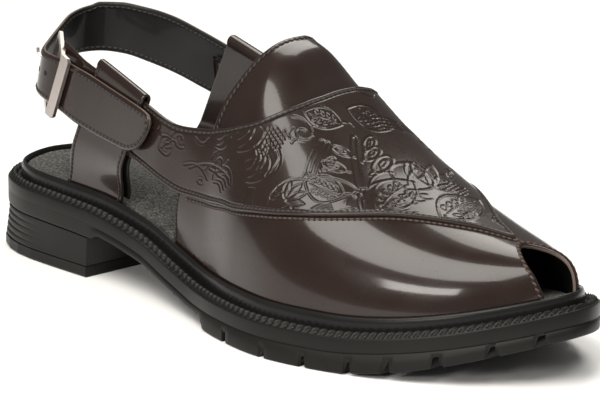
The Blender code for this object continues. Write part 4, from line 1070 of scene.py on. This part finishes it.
heel_low = TOP_LIFT_THICKNESS + GAP
rings = []
for up in np.linspace(0.0, 1.0, 61):
    def level(x, up=up):
        top = bottom(np.minimum(x, HEEL_BREAST * SHOE_LENGTH)) - GAP
        return heel_low + (top - heel_low) * up
    middle = float(level(np.array(0.2 * SHOE_LENGTH)))
    rings.append(ring(lambda x, up=up: heel_inset(x, up), level, bunched(90) ** 1.4 * heel_front(middle)))
heel = shell("heel_ribbed", rings, [SOLE])
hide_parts("heel_block")

# Welt: a thin lip, a knurled rope inside it and the step up to the rand
WELT_PROFILE = [
    (0.0, -0.0028), (0.0, 0.0018), (0.0002, 0.0023), (0.0004, 0.0025), (0.0006, 0.0023), (0.0008, 0.0017),
    (0.0010, 0.0018), (0.0015, 0.0021), (0.0020, 0.0022), (0.0025, 0.0022), (0.0030, 0.0022),
    (0.0035, 0.0021), (0.0040, 0.0020), (0.0046, 0.0022), (0.0053, 0.0029), (0.0053, 0.0003),
    (0.0012, 0.0003), (0.0012, -0.0028),
]
ROPE_INSET = 0.0024
ROPE_HALF = 0.0017
ROPE_RISE = 0.0024
ROPE_PITCH = 0.0032
ROPE_TWIST = 600
dense = (0.5 * bunched(900) + 0.5 * np.linspace(0, 1, 900)) * SHOE_LENGTH
rings = []
for inset, rise in WELT_PROFILE:
    line = ring(inset, lambda x: seat(x) + rise, dense)
    reach = np.concatenate([[0.0], np.cumsum(np.linalg.norm(np.diff(line[:, :2], axis=0), axis=1))])
    if rise > 0.0005:
        hump = math.sqrt(max(0.0, 1.0 - ((inset - ROPE_INSET) / ROPE_HALF) ** 2))
        phase = math.pi * reach / ROPE_PITCH + (inset - 0.003) * ROPE_TWIST
        line[:, 2] += hump * ROPE_RISE * np.abs(np.sin(phase))
    rings.append(line)
welt = shell("knurled_welt_band", rings, [KNURL], capped=False)
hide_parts("welt")

inside = UPPER_INSET - GAP
outside = inside - RAND_THICKNESS
RAND_PROFILE = [
    (outside, 0.0003), (outside, 0.0030), (outside + 0.0001, 0.0042), (outside + 0.0001, 0.0062),
    (outside + 0.0003, 0.0074), (outside + 0.0007, 0.0083), (outside + 0.0011, RAND_HEIGHT),
    (inside - 0.0003, RAND_HEIGHT - 0.0001), (inside, 0.0078), (inside, 0.0003),
]
rand = shell("glossy_rand_band", raised(seat, RAND_PROFILE), [GLOSS], capped=False)
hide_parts("rand")


def insole_inset(x):
    """Inset of the footbed's edge, clear of the upper."""
    share = np.asarray(x, float) / SHOE_LENGTH
    near_heel = smooth((share - 0.12) / 0.03)
    toe = smooth((share - 0.86) / 0.04)
    return UPPER_INSET + INSOLE_PLAY + (LEATHER + 2 * GAP) * near_heel + INSOLE_TOE_PLAY * toe


xs = (0.5 - 0.5 * np.cos(np.linspace(0.06, math.pi - 0.06, 260))) * SHOE_LENGTH
outline = ring(insole_inset, 0.0, xs)
left = outline[: len(xs)]
right = np.vstack([outline[:1], outline[len(xs):][::-1], outline[len(xs) - 1: len(xs)]])
across = eased(41)[:, None, None]
plan = left[None] * (1 - across) + right[None] * across
plan[..., 2] = seat(plan[..., 0]) + INSOLE_TOP
low = plan.copy()
low[..., 2] = seat(plan[..., 0]) + GAP
plan[..., 2] -= rounded(edge_distance(plan), FOOTBED_ROUND)
footbed = two_faced("footbed", plan, low, [FOOTBED, GLOSS, GLOSS])
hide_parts("insole")

# Leather of the buckle's strip, laid over the frame's hinge end
# columns: along as a share of SHOE_LENGTH, upper and lower edge as shares of INSTEP_HEIGHT, out in metres
STRIP_COVER = [
    (0.176, 1.020, 0.900, OUT_SIDE - 0.0002), (0.195, 0.998, 0.880, OUT_SIDE - 0.0002),
    (0.225, 0.955, 0.860, OUT_SIDE - 0.0007), (0.262, 0.915, 0.840, 0.0016),
]
COVER_LEATHER = 0.0010
rows = np.array(STRIP_COVER)
spots = np.linspace(rows[0, 0], rows[-1, 0], 40)
upper, lower, out = (curve(rows[:, [0, k]], spots) for k in (1, 2, 3))
share = np.linspace(0, 1, 12)[:, None]
heights = (upper * (1 - share) + lower * share) * INSTEP_HEIGHT
reach = np.broadcast_to([path_reach(spot, -1) for spot in spots], heights.shape)
faces = softened(wall_at(reach, heights, out), wall_at(reach, heights, out - COVER_LEATHER), COVER_ROUND)
cover = two_faced("buckle_strip_cover", *faces, [BROWN, LINING, DARK_EDGE])

# Carried-over nodes
METAL_BEVEL = 0.00025
shades = {"top_lift": SOLE, "buckle_tab": BROWN, "buckle_frame": NICKEL, "buckle_prong": NICKEL}
for name, shade in shades.items():
    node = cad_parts[name]
    node.data.materials.clear()
    node.data.materials.append(shade)
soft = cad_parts["buckle_frame"].modifiers.new("edge", "BEVEL")
soft.width = METAL_BEVEL
soft.segments = 3
soft.limit_method = "ANGLE"
soft.angle_limit = math.radians(35)

# Floor, light and camera
FLOOR_REACH = 12.0
corners = [(x * FLOOR_REACH, y * FLOOR_REACH, 0.0) for x, y in ((-1, -1), (1, -1), (1, 1), (-1, 1))]
mesh = bpy.data.meshes.new("floor")
mesh.from_pydata(corners, [], [(0, 1, 2, 3)])
mesh.materials.append(shader("floor", (0.93, 0.93, 0.94), 0.6)[0])
floor = bpy.data.objects.new("floor", mesh)
bpy.context.scene.collection.objects.link(floor)

WARM = (1.0, 0.965, 0.90)
WORLD_COLOUR = (1.0, 0.98, 0.94)
WORLD_LIGHT = 0.22
AIM_HEIGHT = 0.040


def toward(azimuth, elevation):
    """Direction from the shoe, in degrees from its lateral side to the toe and up."""
    az, el = math.radians(azimuth), math.radians(elevation)
    return Vector((math.sin(az) * math.cos(el), -math.cos(az) * math.cos(el), math.sin(el)))


def lamp(name, azimuth, elevation, distance, tall, power, wide):
    """Soft light aimed at the shoe."""
    data = bpy.data.lights.new(name, "AREA")
    data.shape = "RECTANGLE"
    data.size, data.size_y = wide, tall
    data.energy = power
    data.color = WARM
    way = toward(azimuth, elevation)
    spot = bpy.data.objects.new(name, data)
    spot.location = way * distance + Vector((0, 0, AIM_HEIGHT))
    spot.rotation_euler = (-way).to_track_quat("-Z", "Y").to_euler()
    bpy.context.scene.collection.objects.link(spot)


world = bpy.data.worlds.new("studio")
bpy.context.scene.world = world
world.use_nodes = True
background = world.node_tree.nodes["Background"]
background.inputs["Color"].default_value = (*WORLD_COLOUR, 1.0)
background.inputs["Strength"].default_value = WORLD_LIGHT
# columns: azimuth and elevation in degrees, distance, tall in metres, power in watts, wide in metres
LAMPS = {
    "key": (18, 58, 1.3, 0.85, 19, 0.85), "low": (18, 23, 1.3, 0.20, 4.5, 0.42),
    "side": (80, 55, 1.6, 0.45, 6, 0.45), "back": (215, 55, 1.5, 0.8, 11, 0.8),
}
for name, row in LAMPS.items():
    lamp(name, *row)
bpy.context.scene.view_settings.view_transform = "Standard"

# Camera: degrees, then distance and aim in metres, lens and sensor in millimetres
VIEW_AZIMUTH, VIEW_ELEVATION, VIEW_ROLL = 46.94, 14.78, 0.38
VIEW_DISTANCE = 0.992
VIEW_AIM = Vector((SHOE_LENGTH / 2 - CENTRE[0], 0.0, AIM_HEIGHT))
VIEW_LENS = 155.64
VIEW_SHIFT = (0.0368, -0.0097)
VIEW_SENSOR = 36.0
azimuth, roll = math.radians(VIEW_AZIMUTH), math.radians(VIEW_ROLL)
back = toward(VIEW_AZIMUTH, VIEW_ELEVATION)
right = Vector((math.cos(azimuth), math.sin(azimuth), 0.0))
up = back.cross(right)
right, up = right * math.cos(roll) + up * math.sin(roll), up * math.cos(roll) - right * math.sin(roll)
place = VIEW_AIM + back * VIEW_DISTANCE
lens = bpy.data.cameras.new("camera")
lens.sensor_width = VIEW_SENSOR
lens.lens = VIEW_LENS
lens.shift_x, lens.shift_y = VIEW_SHIFT
camera = bpy.data.objects.new("camera", lens)
bpy.context.scene.collection.objects.link(camera)
camera.matrix_world = Matrix([(right[k], up[k], back[k], place[k]) for k in range(3)] + [(0, 0, 0, 1)])
bpy.context.scene.camera = camera
